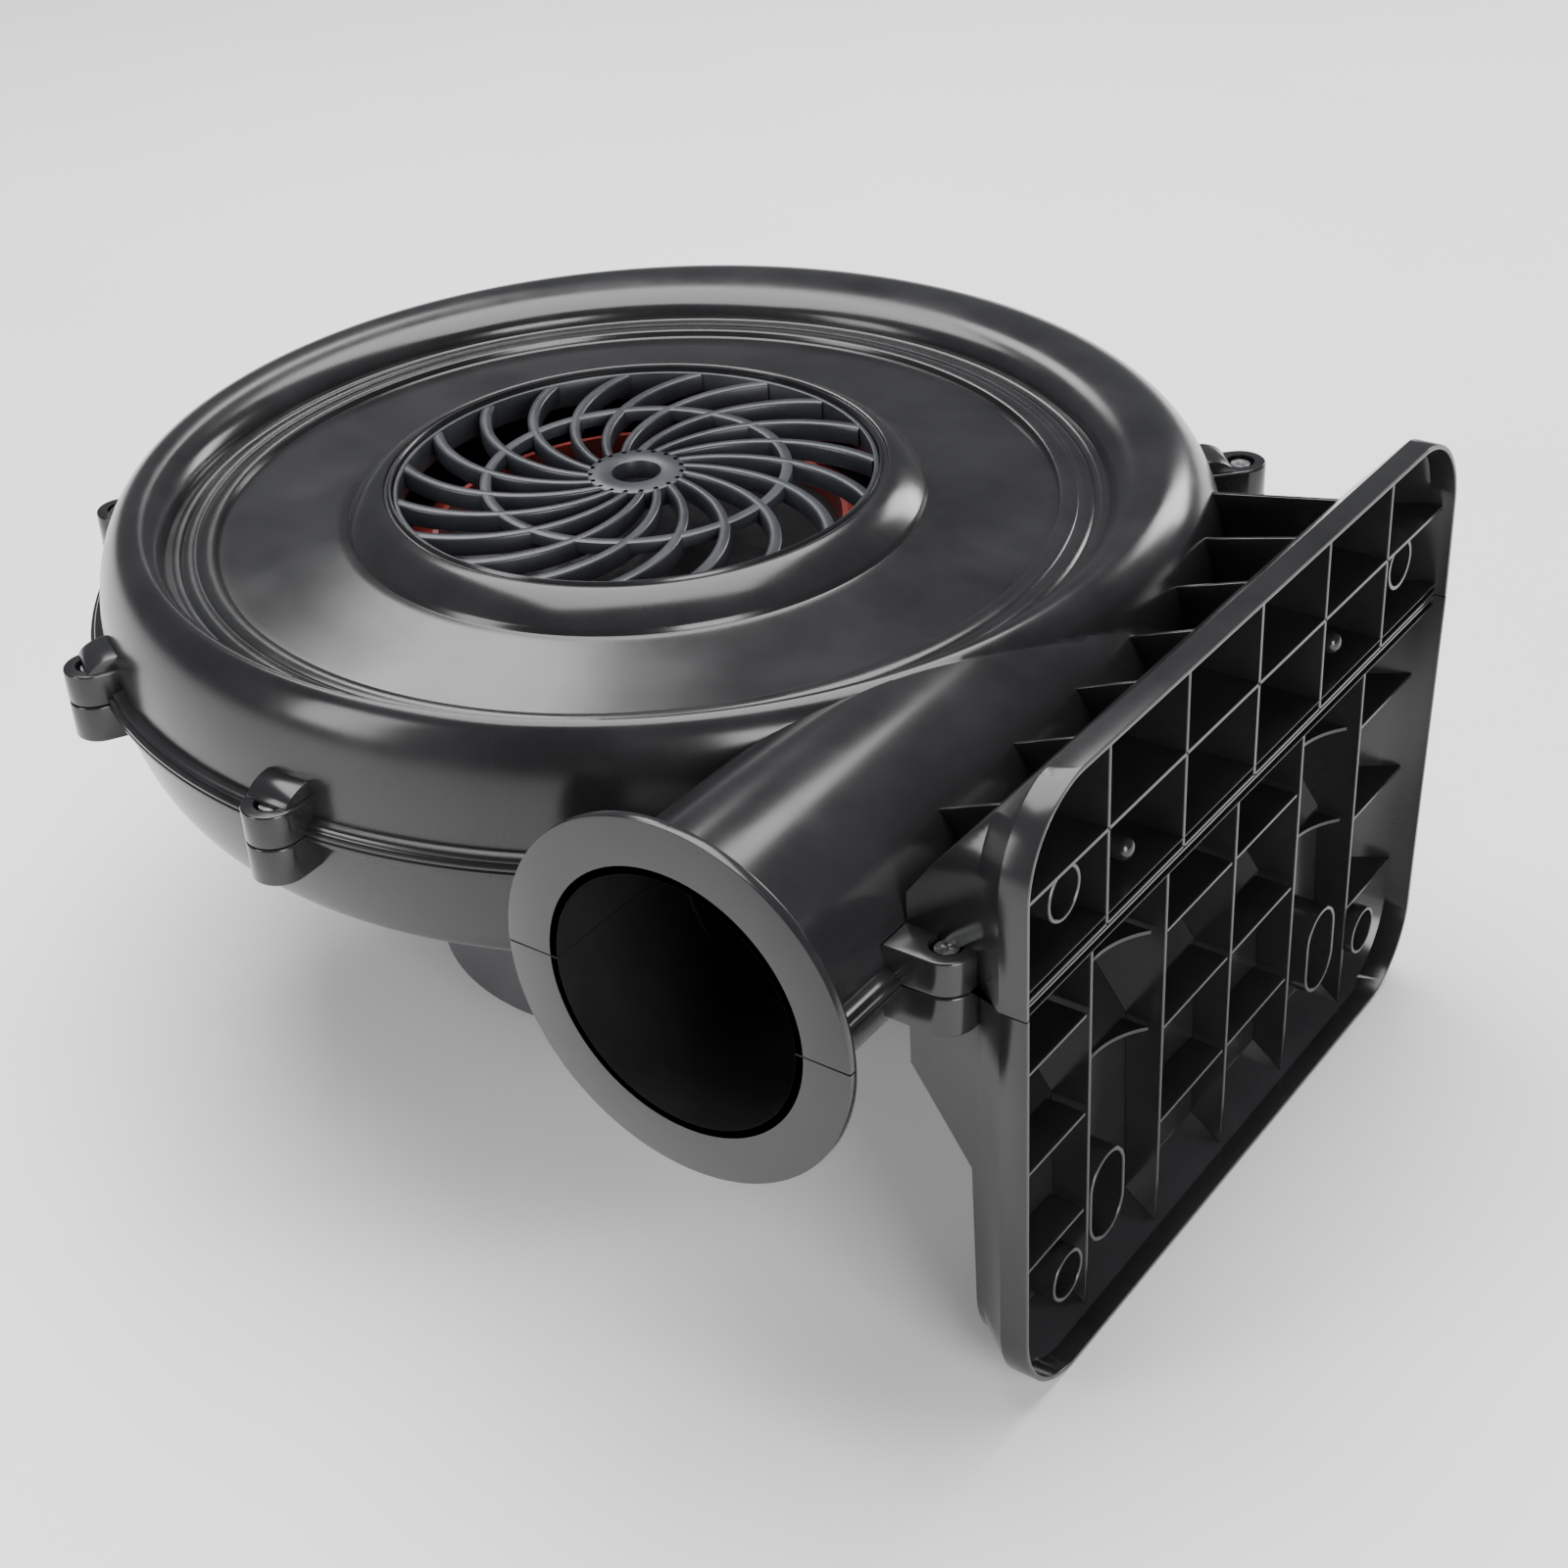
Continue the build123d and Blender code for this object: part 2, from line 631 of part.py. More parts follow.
with BuildPart() as stator_core:
    with BuildSketch(Plane.XY.offset(STATOR_LOW)):
        Circle(STATOR_R)
        Circle(STATOR_BORE, mode=Mode.SUBTRACT)
        with PolarLocations(53, SLOTS):
            Rectangle(16, 5, mode=Mode.SUBTRACT)
        with PolarLocations(43, SLOTS):
            Rectangle(8, 2, mode=Mode.SUBTRACT)
    extrude(amount=STATOR_HIGH - STATOR_LOW)
stator_core.part.label = "stator_core"
export_step(stator_core.part, "parts/stator_core.step")

with BuildPart() as stator_windings:
    with BuildSketch(Plane.XY.offset(STATOR_LOW)):
        with PolarLocations(53, SLOTS):
            Rectangle(15.6, 4.6)
    extrude(amount=STATOR_HIGH - STATOR_LOW)
    for low, high in ((31.0, STATOR_LOW), (STATOR_HIGH, 106.0)):
        with BuildSketch(Plane.XZ) as coil:
            with Locations((53.5, (low + high) / 2)):
                RectangleRounded(15, high - low, 3)
        revolve(axis=Axis.Z)
stator_windings.part.label = "stator_windings"
export_step(stator_windings.part, "parts/stator_windings.step")


def end_bracket(face, seat, rim):
    """Cast end bell: face plate, skirt on the stator, bearing seat and four bolt ears."""
    up = 1 if rim > face else -1
    plate = 4.0
    with BuildPart() as bracket:
        with BuildSketch(Plane.XY.offset(face)):
            Circle(STATOR_R)
        extrude(amount=up * plate)
        with BuildSketch(Plane.XY.offset(face)):
            Circle(STATOR_R)
            Circle(STATOR_R - 5, mode=Mode.SUBTRACT)
        extrude(amount=rim - face)
        with BuildSketch(Plane.XY.offset(face)):
            Circle(BEARING_OD + 4)
        extrude(amount=up * 16)
        with BuildSketch(Plane.XY.offset(rim)):
            with PolarLocations(EAR_CIRCLE - 4, 4, 45):
                Rectangle(14, 12)
            Circle(STATOR_R - 5, mode=Mode.SUBTRACT)
        extrude(amount=-up * 8)
        with BuildSketch(Plane.XY.offset(rim)):
            with PolarLocations(EAR_CIRCLE, 4, 45):
                Circle(2.6)
        extrude(amount=-up * 8, mode=Mode.SUBTRACT)
        with BuildSketch(Plane.XY.offset(seat)):
            Circle(BEARING_OD)
        extrude(amount=up * 20, mode=Mode.SUBTRACT)
        with BuildSketch(Plane.XY.offset(face)):
            Circle(11.0)
        extrude(amount=up * 30, mode=Mode.SUBTRACT)
        with PolarLocations(STATOR_R - 2, 8, 22.5):
            with Locations((0, 0, (face + rim) / 2)):
                Box(14, 22, 9, mode=Mode.SUBTRACT)
    return bracket


rear_bracket = end_bracket(REAR_FACE, REAR_BEARING - 1.0, STATOR_LOW)
rear_bracket.part.label = "rear_bracket"
export_step(rear_bracket.part, "parts/rear_bracket.step")

with BuildPart() as front_bracket:
    add(end_bracket(FRONT_FACE, FRONT_BEARING + BEARING_W, STATOR_HIGH).part)
    with BuildSketch(Plane.XY.offset(FRONT_FACE)):
        with PolarLocations(MOTOR_SCREW_CIRCLE, 4, 45):
            Circle(2.4)
    extrude(amount=-4, mode=Mode.SUBTRACT)
front_bracket.part.label = "front_bracket"
export_step(front_bracket.part, "parts/front_bracket.step")

with BuildPart() as motor_bolts:
    with PolarLocations(EAR_CIRCLE, 4, 45):
        with Locations((0, 0, 69)):
            Cylinder(2.4, 66)
        with Locations((0, 0, 100)):
            Cylinder(4.2, 4)
        with Locations((0, 0, 38.2)):
            Cylinder(4.2, 3.6)
motor_bolts.part.label = "motor_bolts"
export_step(motor_bolts.part, "parts/motor_bolts.step")

with BuildPart() as motor_mount_screws:
    with PolarLocations(MOTOR_SCREW_CIRCLE, 4, 45):
        with Locations((0, 0, FRONT_FACE + WALL + 1.6)):
            Cylinder(4.6, 3.2)
        with Locations((0, 0, FRONT_FACE + WALL + 2.6)):
            Box(5, 1.2, 1.6, mode=Mode.SUBTRACT)
            Box(1.2, 5, 1.6, mode=Mode.SUBTRACT)
        with Locations((0, 0, FRONT_FACE - 0.4)):
            Cylinder(2.4, 7.2)
motor_mount_screws.part.label = "motor_mount_screws"
export_step(motor_mount_screws.part, "parts/motor_mount_screws.step")


def race(inner, outer, low):
    """A bearing race with its ball groove."""
    with BuildPart() as ring:
        with BuildSketch(Plane.XY.offset(low)):
            Circle(outer)
            Circle(inner, mode=Mode.SUBTRACT)
        extrude(amount=BEARING_W)
        with BuildSketch(Plane.XZ):
            with Locations((BALL_CIRCLE, low + BEARING_W / 2)):
                Circle(BALL_R + 0.07)
        revolve(axis=Axis.Z, mode=Mode.SUBTRACT)
    return ring


BALL_CIRCLE, BALL_R, BALLS = 12.5, 2.35, 8
for place, low in (("rear", REAR_BEARING), ("front", FRONT_BEARING)):
    outer_race = race(14.6, BEARING_OD, low)
    outer_race.part.label = place + "_bearing_outer_race"
    export_step(outer_race.part, "parts/" + place + "_bearing_outer_race.step")
    inner_race = race(BEARING_ID, 10.4, low)
    inner_race.part.label = place + "_bearing_inner_race"
    export_step(inner_race.part, "parts/" + place + "_bearing_inner_race.step")
    with BuildPart() as balls:
        with BuildSketch(Plane.XY.offset(low + BEARING_W / 2 - 1.6)):
            Circle(13.3)
            Circle(11.7, mode=Mode.SUBTRACT)
        extrude(amount=3.2)
        with PolarLocations(BALL_CIRCLE, BALLS):
            with Locations((0, 0, low + BEARING_W / 2)):
                Sphere(BALL_R)
    balls.part.label = place + "_bearing_balls"
    export_step(balls.part, "parts/" + place + "_bearing_balls.step")

with BuildPart() as preload_washer:
    with BuildSketch(Plane.XY.offset(REAR_BEARING - 1)):
        Circle(BEARING_OD - 0.2)
        Circle(12.5, mode=Mode.SUBTRACT)
    extrude(amount=1)
preload_washer.part.label = "preload_washer"
export_step(preload_washer.part, "parts/preload_washer.step")

with BuildPart() as shaft_seal:
    with BuildSketch(Plane.XY.offset(FRONT_FACE)):
        Circle(15.9)
        Circle(8.2, mode=Mode.SUBTRACT)
    extrude(amount=5)
    with BuildSketch(Plane.XY.offset(FRONT_FACE + WALL)):
        Circle(19)
        Circle(8.2, mode=Mode.SUBTRACT)
    extrude(amount=2)
shaft_seal.part.label = "shaft_seal"
export_step(shaft_seal.part, "parts/shaft_seal.step")

# ---- capacitor ---------------------------------------------------------------------------
with BuildPart() as capacitor:
    with Locations((0, 88, 62)):
        Box(46, 19, 36)
    fillet(capacitor.edges().filter_by(Axis.Z), 3)
    with Locations((-10, 88, 82), (10, 88, 82)):
        Box(6, 0.8, 6)
capacitor.part.label = "capacitor"
export_step(capacitor.part, "parts/capacitor.step")

with BuildPart() as capacitor_bracket:
    with BuildSketch(Plane.XY.offset(54)):
        with Locations((0, 87)):
            Rectangle(48.4, 19.8)
            Rectangle(46, 17.4, mode=Mode.SUBTRACT)
        with Locations((0, 95.5)):
            Rectangle(46, 9, mode=Mode.SUBTRACT)
            Rectangle(60, 6, mode=Mode.SUBTRACT)
        with Locations((0, 74.6)):
            Rectangle(14, 5.2)
    extrude(amount=14)
    add(capacitor.part, mode=Mode.SUBTRACT)
    add(stator_core.part, mode=Mode.SUBTRACT)
capacitor_bracket.part.label = "capacitor_bracket"
export_step(capacitor_bracket.part, "parts/capacitor_bracket.step")

# ---- rotor: shaft, core, cooling fan -------------------------------------------------------
SHAFT_STEPS = ((5.0, 5.0), (22.0, 5.0), (22.0, 7.5), (38.0, 7.5), (38.0, 10.0), (96.5, 10.0),
               (96.5, 7.5), (128.0, 7.5), (128.0, SHAFT_R), (167.0, SHAFT_R), (167.0, 4.0),
               (177.0, 4.0), (178.0, 3.0))
with BuildPart() as motor_shaft:
    with BuildSketch(Plane.XZ):
        with BuildLine():
            Polyline((0, SHAFT_STEPS[0][0]), *[(r, z) for z, r in SHAFT_STEPS],
                     (0, SHAFT_STEPS[-1][0]), close=True)
        make_face()
    revolve(axis=Axis.Z)
motor_shaft.part.label = "motor_shaft"
export_step(motor_shaft.part, "parts/motor_shaft.step")

with BuildPart() as rotor_core:
    with BuildSketch(Plane.XY.offset(STATOR_LOW + 1)):
        Circle(ROTOR_R)
        Circle(10.0, mode=Mode.SUBTRACT)
    extrude(amount=STATOR_HIGH - STATOR_LOW - 2)
rotor_core.part.label = "rotor_core"
export_step(rotor_core.part, "parts/rotor_core.step")

with BuildPart() as rotor_end_rings:
    for low in (STATOR_LOW - 5, STATOR_HIGH - 1):
        with BuildSketch(Plane.XY.offset(low)):
            Circle(38.0)
            Circle(26.0, mode=Mode.SUBTRACT)
        extrude(amount=6)
rotor_end_rings.part.label = "rotor_end_rings"
export_step(rotor_end_rings.part, "parts/rotor_end_rings.step")

with BuildPart() as cooling_fan:
    with BuildSketch(Plane.XY.offset(7)):
        Circle(12)
    extrude(amount=14)
    with BuildSketch(Plane.XY.offset(18.5)):
        Circle(60)
    extrude(amount=2)
    with BuildSketch(Plane.XY.offset(8)):
        with PolarLocations(35, 10):
            Rectangle(48, 2)
    extrude(amount=11)
    with BuildSketch(Plane.XY.offset(7)):
        Circle(5.0)
    extrude(amount=14, mode=Mode.SUBTRACT)
cooling_fan.part.label = "cooling_fan"
export_step(cooling_fan.part, "parts/cooling_fan.step")

# ---- impeller -------------------------------------------------------------------------------
HUB_TOP = 165.5
PLATE_T = 2.6
SHROUD = ((EYE_R, SEAM + 20.0), (IMPELLER_R, SEAM + 6.0))
HUB_BORE_R = 14.0

with BuildPart() as impeller:
    with BuildSketch(Plane.XY.offset(BACKPLATE_Z + PLATE_T)) as blade_sketch:
        for index in range(BLADES):
            turn = Plane.XY.rotated((0, 0, 360 / BLADES * index))
            with BuildSketch(turn, mode=Mode.PRIVATE) as blade:
                with BuildLine():
                    ThreePointArc(polar(56, 60), polar(104, 33), polar(163, 0))
                    Line(polar(163, 0), polar(163, 1.0))
                    ThreePointArc(polar(163, 1.0), polar(104, 34.6), polar(56, 63))
                    Line(polar(56, 63), polar(56, 60))
                make_face()
            add(blade.sketch)
    extrude(amount=60)
    with BuildSketch(Plane.XZ):
        with BuildLine():
            Polyline((50, BACKPLATE_Z), (IMPELLER_R, BACKPLATE_Z), SHROUD[1][::1], SHROUD[0],
                     (50, SEAM + 2), close=True)
        make_face()
    revolve(axis=Axis.Z, mode=Mode.INTERSECT)
    with BuildSketch(Plane.XZ):
        with BuildLine():
            Polyline((HUB_BORE_R, BACKPLATE_Z - 3), (30, BACKPLATE_Z - 3), (34, BACKPLATE_Z),
                     (IMPELLER_R, BACKPLATE_Z), (IMPELLER_R, BACKPLATE_Z + PLATE_T),
                     (60, BACKPLATE_Z + PLATE_T), (44, BACKPLATE_Z + 6), (32, BACKPLATE_Z + 16),
                     (26, SEAM + 1), (HUB_BORE_R, SEAM + 2), close=True)
        make_face()
    revolve(axis=Axis.Z)
impeller.part.label = "impeller"
export_step(impeller.part, "parts/impeller.step")

with BuildPart() as impeller_shroud:
    with BuildSketch(Plane.XZ):
        with BuildLine():
            Polyline(SHROUD[0], SHROUD[1], (IMPELLER_R, SHROUD[1][1] + PLATE_T),
                     (EYE_R + 4, SHROUD[0][1] + PLATE_T), (EYE_R + 2.4, SHROUD[0][1] + 4),
                     (EYE_R + 2.4, SEAM + 31), (EYE_R, SEAM + 31), close=True)
        make_face()
    revolve(axis=Axis.Z)
impeller_shroud.part.label = "impeller_shroud"
export_step(impeller_shroud.part, "parts/impeller_shroud.step")

with BuildPart() as impeller_insert:
    with BuildSketch(Plane.XY.offset(BACKPLATE_Z - 5)):
        Circle(24)
    extrude(amount=2)
    with BuildSketch(Plane.XY.offset(BACKPLATE_Z - 3)):
        Circle(HUB_BORE_R)
    extrude(amount=HUB_TOP - BACKPLATE_Z + 3)
    with BuildSketch(Plane.XY.offset(BACKPLATE_Z - 5)):
        Circle(SHAFT_R)
    extrude(amount=60, mode=Mode.SUBTRACT)
impeller_insert.part.label = "impeller_insert"
export_step(impeller_insert.part, "parts/impeller_insert.step")

WASHER_T = 2.0
with BuildPart() as impeller_washer:
    with BuildSketch(Plane.XY.offset(167.0)):
        Circle(11)
        Circle(4.1, mode=Mode.SUBTRACT)
    extrude(amount=WASHER_T)
impeller_washer.part.label = "impeller_washer"
export_step(impeller_washer.part, "parts/impeller_washer.step")

with BuildPart() as impeller_nut:
    with BuildSketch(Plane.XY.offset(167.0 + WASHER_T)):
        RegularPolygon(6.5, 6, major_radius=False)
        Circle(4.02, mode=Mode.SUBTRACT)
    extrude(amount=6.5)
impeller_nut.part.label = "impeller_nut"
export_step(impeller_nut.part, "parts/impeller_nut.step")
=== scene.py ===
"""Looks for the centrifugal blower: smooth moulded shells, grille and ribbed foot around the CAD frame."""
import json
import math

import bmesh
import bpy
from mathutils import Matrix, Vector


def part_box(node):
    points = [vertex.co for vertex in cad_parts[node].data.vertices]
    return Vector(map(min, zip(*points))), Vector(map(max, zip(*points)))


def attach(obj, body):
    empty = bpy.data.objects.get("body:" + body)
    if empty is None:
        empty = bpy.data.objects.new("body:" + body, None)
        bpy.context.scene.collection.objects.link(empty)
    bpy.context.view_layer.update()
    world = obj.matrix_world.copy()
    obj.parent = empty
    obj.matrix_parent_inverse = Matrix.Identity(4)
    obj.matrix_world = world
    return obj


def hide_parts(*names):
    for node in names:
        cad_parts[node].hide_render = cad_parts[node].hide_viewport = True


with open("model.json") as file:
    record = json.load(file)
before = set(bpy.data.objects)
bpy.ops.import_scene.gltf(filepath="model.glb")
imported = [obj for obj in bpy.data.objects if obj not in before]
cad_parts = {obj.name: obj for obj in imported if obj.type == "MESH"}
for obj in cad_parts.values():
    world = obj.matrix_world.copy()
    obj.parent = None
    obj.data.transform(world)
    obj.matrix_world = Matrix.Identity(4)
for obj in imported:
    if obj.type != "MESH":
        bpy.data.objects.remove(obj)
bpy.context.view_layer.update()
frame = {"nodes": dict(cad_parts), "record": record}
MM = 0.001

# ---- sizes shared with the CAD model, in millimetres ----------------------------------
SEAM = 161.0
WALL = 3.0
DRUM_X, DRUM_Y, DRUM_R = -9.4, 26.2, 237.2
SHOULDER, SHOULDER_SHARE = 29.7, 0.563
CREST, FLOOR_DEPTH = 52.6, 48.0
DISC_R, DISC_H = 193.0, 41.0
OUTLET_X, OUTLET_R = 186.0, 52.0
BORE_R = OUTLET_R - WALL
SOCKET_DEPTH, TUBE_R = 69.0, BORE_R - 1.0
FLANGE_Y, FLANGE_R, FLANGE_T = -225.8, 70.2, 4.0
BEND_Y, BEND_ANGLE = -20.0, 45.0
FOOT_X, RIM_DEPTH = 289.5, 10.5
FOOT_NEAR, FOOT_FAR, FOOT_TOP, FOOT_BOTTOM = -174.0, 158.0, 79.0, -179.0
FOOT_WALL = 2.0
RIB = 1.6
RIB_Y = [-113.5 + 54.4 * i for i in range(5)]
UPPER_RIB_X, LOWER_RIB_X = 285.0, 279.5
SEAM_GAP = 0.15
AROUND = 320            # points round the volute
SHOULDER_START = 4.0    # height from the seam where the shoulder begins
CLEAR = 10.0            # how far a cutting solid runs past the face it opens


# ---- mesh helpers ----------------------------------------------------------------------
def new_object(name, data):
    """A new object in the scene, for a mesh, a light or a camera."""
    made = bpy.data.objects.new(name, data)
    bpy.context.scene.collection.objects.link(made)
    return made


def add_mesh(name, verts, faces):
    """A new object from points in millimetres."""
    mesh = bpy.data.meshes.new(name)
    mesh.from_pydata([tuple(v * MM for v in p) for p in verts], [], faces)
    mesh.update()
    return new_object(name, mesh)


def fix_normals(piece):
    """Turns every face of a closed mesh outwards."""
    work = bmesh.new()
    work.from_mesh(piece.data)
    bmesh.ops.recalc_face_normals(work, faces=work.faces)
    work.to_mesh(piece.data)
    work.free()


def ring_solid(name, rings, capped=True):
    """A closed solid through rings of equal point count; without caps the last ring joins the first."""
    count = len(rings[0])
    verts = [tuple(p) for ring in rings for p in ring]
    faces = []
    steps = len(rings) - 1 if capped else len(rings)
    for i in range(steps):
        a, b = i * count, ((i + 1) % len(rings)) * count
        for j in range(count):
            k = (j + 1) % count
            faces.append((a + j, a + k, b + k, b + j))
    if capped:
        faces.append(tuple(reversed(range(count))))
        faces.append(tuple(range(len(verts) - count, len(verts))))
    piece = add_mesh(name, verts, faces)
    fix_normals(piece)
    return piece


def applied(piece):
    """Makes the result of a piece's modifiers its mesh."""
    view = bpy.context.evaluated_depsgraph_get()
    piece.data = bpy.data.meshes.new_from_object(piece.evaluated_get(view))
    piece.modifiers.clear()
    return piece


def combine(target, tool, how):
    """Boolean of two solids, applied; the tool is used up."""
    change = target.modifiers.new("combine", "BOOLEAN")
    change.object = tool
    change.operation = how
    change.solver = "EXACT"
    applied(target)
    bpy.data.objects.remove(tool)
    return target


def bevel(piece, width, segments=2, angle=35.0):
    """Rounds the sharp edges of a solid, applied."""
    change = piece.modifiers.new("bevel", "BEVEL")
    change.width = width * MM
    change.segments = segments
    change.limit_method = "ANGLE"
    change.angle_limit = math.radians(angle)
    change.use_clamp_overlap = True
    return applied(piece)


def smooth(piece, angle=32.0):
    """Smooth shading with sharp edges kept sharp."""
    for face in piece.data.polygons:
        face.use_smooth = True
    piece.data.set_sharp_from_angle(angle=math.radians(angle))


def join(name, pieces):
    """One object from several."""
    work = bmesh.new()
    for piece in pieces:
        work.from_mesh(piece.data)
    mesh = bpy.data.meshes.new(name)
    work.to_mesh(mesh)
    work.free()
    for piece in pieces:
        bpy.data.objects.remove(piece)
    return new_object(name, mesh)


def copy_of(piece):
    """A second object with a mesh of its own."""
    return new_object(piece.name, piece.data.copy())


def disc(x, y, r, count=48):
    """Points round a circle, in a plane of their own."""
    return [(x + r * math.cos(2 * math.pi * k / count), y + r * math.sin(2 * math.pi * k / count))
            for k in range(count)]


def circle(x, y, r, z, count=AROUND):
    """Points round a level circle at height z."""
    return [(a, b, z) for a, b in disc(x, y, r, count)]


def polar(x, y, r, angle):
    """The point at distance r from a centre, at an angle in degrees."""
    return x + r * math.cos(math.radians(angle)), y + r * math.sin(math.radians(angle))


def prism(name, outline, low, high, axis="z"):
    """An outline pushed along one axis; outline points are in the other two axes, in order."""
    def place(a, b, c):
        return {"x": (c, a, b), "y": (a, c, b), "z": (a, b, c)}[axis]
    rings = [[place(a, b, c) for a, b in outline] for c in (low, high)]
    return ring_solid(name, rings)


def block(name, low, high):
    """A box between two corners."""
    return prism(name, [(low[0], low[1]), (high[0], low[1]), (high[0], high[1]), (low[0], high[1])],
                 low[2], high[2])


# ---- volute ----------------------------------------------------------------------------
def wall_rings(shrink, top, sign, step=4.5):
    """Circles up the wall and over the shoulder to the crest."""
    rings = [circle(DRUM_X, DRUM_Y, DRUM_R - shrink, SEAM)]
    for k in range(int(90 / step) + 1):
        angle = math.radians(k * step)
        lean = 1 - math.cos(angle)
        share = 1 - SHOULDER_SHARE * lean
        height = SHOULDER_START + (top - SHOULDER_START) * math.sin(angle)
        rings.append(circle(DRUM_X * share, DRUM_Y * share, DRUM_R - shrink - SHOULDER * lean,
                            SEAM + sign * height))
    return rings


def flank_rings(shrink, drop, angles=(78, 66, 54, 42, 30, 20, 10, 0)):
    """Circles from the crest down to the edge of the disc."""
    rings = []
    for step in angles:
        rise = 1 - math.cos(math.radians(step))
        share = (1 - SHOULDER_SHARE) * rise
        height = DISC_H - drop + (CREST - DISC_H) * math.sin(math.radians(step))
        rings.append(circle(DRUM_X * share, DRUM_Y * share,
                            DISC_R + shrink + (DRUM_R - SHOULDER - DISC_R) * rise, SEAM + height))
    return rings


def recess(shrink, drop):
    """The space above the disc, up to the crest."""
    rings = list(reversed(flank_rings(shrink, drop)))
    share = 1 - SHOULDER_SHARE
    above = CREST + 30
    for height in (CREST - drop, above):
        rings.append(circle(DRUM_X * share, DRUM_Y * share, DRUM_R - SHOULDER + shrink, SEAM + height))
    return ring_solid("recess", rings)


def duct(name, radius, domed, start=FLANGE_Y, count=96):
    """The outlet tube and the arc that wraps round the volute, as a solid."""
    straight_steps, bend_steps, dome_steps = 30, 30, 12
    rings = []

    def ring(x, y, angle, r):
        side = (math.cos(angle), math.sin(angle))
        rings.append([(x + side[0] * r * math.cos(2 * math.pi * k / count),
                       y + side[1] * r * math.cos(2 * math.pi * k / count),
                       SEAM + r * math.sin(2 * math.pi * k / count)) for k in range(count)])

    for k in range(straight_steps):
        ring(OUTLET_X, start + (BEND_Y - start) * (k / straight_steps), 0.0, radius)
    path_r = OUTLET_X - DRUM_X
    for k in range(bend_steps + 1):
        angle = math.radians(BEND_ANGLE * k / bend_steps)
        ring(DRUM_X + path_r * math.cos(angle), BEND_Y + path_r * math.sin(angle), angle, radius)
    if domed:
        angle = math.radians(BEND_ANGLE)
        ahead = (-math.sin(angle), math.cos(angle))
        cx, cy = DRUM_X + path_r * math.cos(angle), BEND_Y + path_r * math.sin(angle)
        for k in range(1, dome_steps):
            tilt = math.radians(90 * k / dome_steps)
            reach = radius * math.sin(tilt)
            ring(cx + ahead[0] * reach, cy + ahead[1] * reach, angle, radius * math.cos(tilt))
    return ring_solid(name, rings)


def disc_profile():
    """Half-section of the disc and collar, from its outer edge over the top and back below: (r, height)."""
    top = [(190.8, 40.9), (189.6, 40.2), (187.6, 40.2), (186.6, 40.9), (185, 41.3), (182.4, 41.5),
           (181.6, 41.1), (180.8, 41.1), (180.0, 41.6), (176.5, 41.9), (174.2, 41.9), (173.2, 41.5),
           (172.7, 40.4), (172.4, 39.2), (171.6, 38.6), (168, 38.7), (150, 40.1), (135, 41.3), (124, 42.2),
           (120.6, 42.5), (119.7, 42.8), (119.2, 43.6), (118.9, 44.6), (118.2, 45.4), (116.5, 47.2),
           (113.5, 50.0), (110.5, 52.3), (107.6, 54.0), (105.4, 54.9), (104.2, 55.2), (103.6, 55.0),
           (103.2, 54.3), (102.4, 54.1), (101.7, 54.3), (101.4, 55.3), (101.0, 55.9), (100.4, 55.9),
           (100.05, 55.5)]
    below = [(100.05, 44.3), (100.4, 44.0), (102.3, 44.0), (102.8, 50.0), (106, 51.4), (111, 47.4),
             (117, 39.6), (122, 38.9), (150, 36.9), (171, 35.6), (174, 38.2), (190.8, 38.2)]
    return top, below


# ---- outlines along the wall, for the ridge ---------------------------------------------
def wall_outline(offset):
    """The plan of the outer wall at the seam, from the tube's inner side round to its outer side."""
    points = []
    inner_steps, wall_steps, outer_steps = 9, 260, 20
    tube_start = FLANGE_Y + FLANGE_T
    inner_x = OUTLET_X - OUTLET_R - offset
    r = DRUM_R + offset
    meet_y = DRUM_Y - math.sqrt(r * r - (inner_x - DRUM_X) ** 2)
    for k in range(inner_steps):
        points.append((inner_x, tube_start + (meet_y - FLANGE_Y - FLANGE_T) * k / inner_steps))
    start = math.atan2(meet_y - DRUM_Y, inner_x - DRUM_X)
    bend_r = OUTLET_X + OUTLET_R - DRUM_X + offset
    gap = DRUM_Y - BEND_Y
    cross_y = (DRUM_Y ** 2 - BEND_Y ** 2 - r ** 2 + bend_r ** 2) / (2 * gap)
    stop = math.asin((cross_y - DRUM_Y) / r) - 2 * math.pi
    for k in range(wall_steps + 1):
        angle = start + (stop - start) * k / wall_steps
        points.append((DRUM_X + r * math.cos(angle), DRUM_Y + r * math.sin(angle)))
    turn = math.asin((cross_y - BEND_Y) / bend_r)
    for k in range(1, outer_steps + 1):
        angle = turn * (1 - k / outer_steps)
        points.append((DRUM_X + bend_r * math.cos(angle), BEND_Y + bend_r * math.sin(angle)))
    for k in range(1, outer_steps + 1):
        points.append((OUTLET_X + OUTLET_R + offset, BEND_Y + (tube_start - BEND_Y) * k / outer_steps))
    return points


def seam_ridge(name, sign):
    """Stepped lips that stand out along the seam."""
    section = [(-1.2, SEAM_GAP), (5.4, SEAM_GAP), (5.9, 0.6), (5.9, 1.6), (5.5, 2.0), (4.2, 2.1), (4.0, 2.4),
               (4.0, 3.6), (3.6, 4.2), (1.6, 4.4), (0.8, 5.0), (-1.2, 5.4)]
    rows = [wall_outline(offset) for offset, _ in section]
    rings = []
    for index in range(len(rows[0])):
        rings.append([(*rows[k][index], SEAM + sign * section[k][1]) for k in range(len(section))])
    return ring_solid(name, rings)


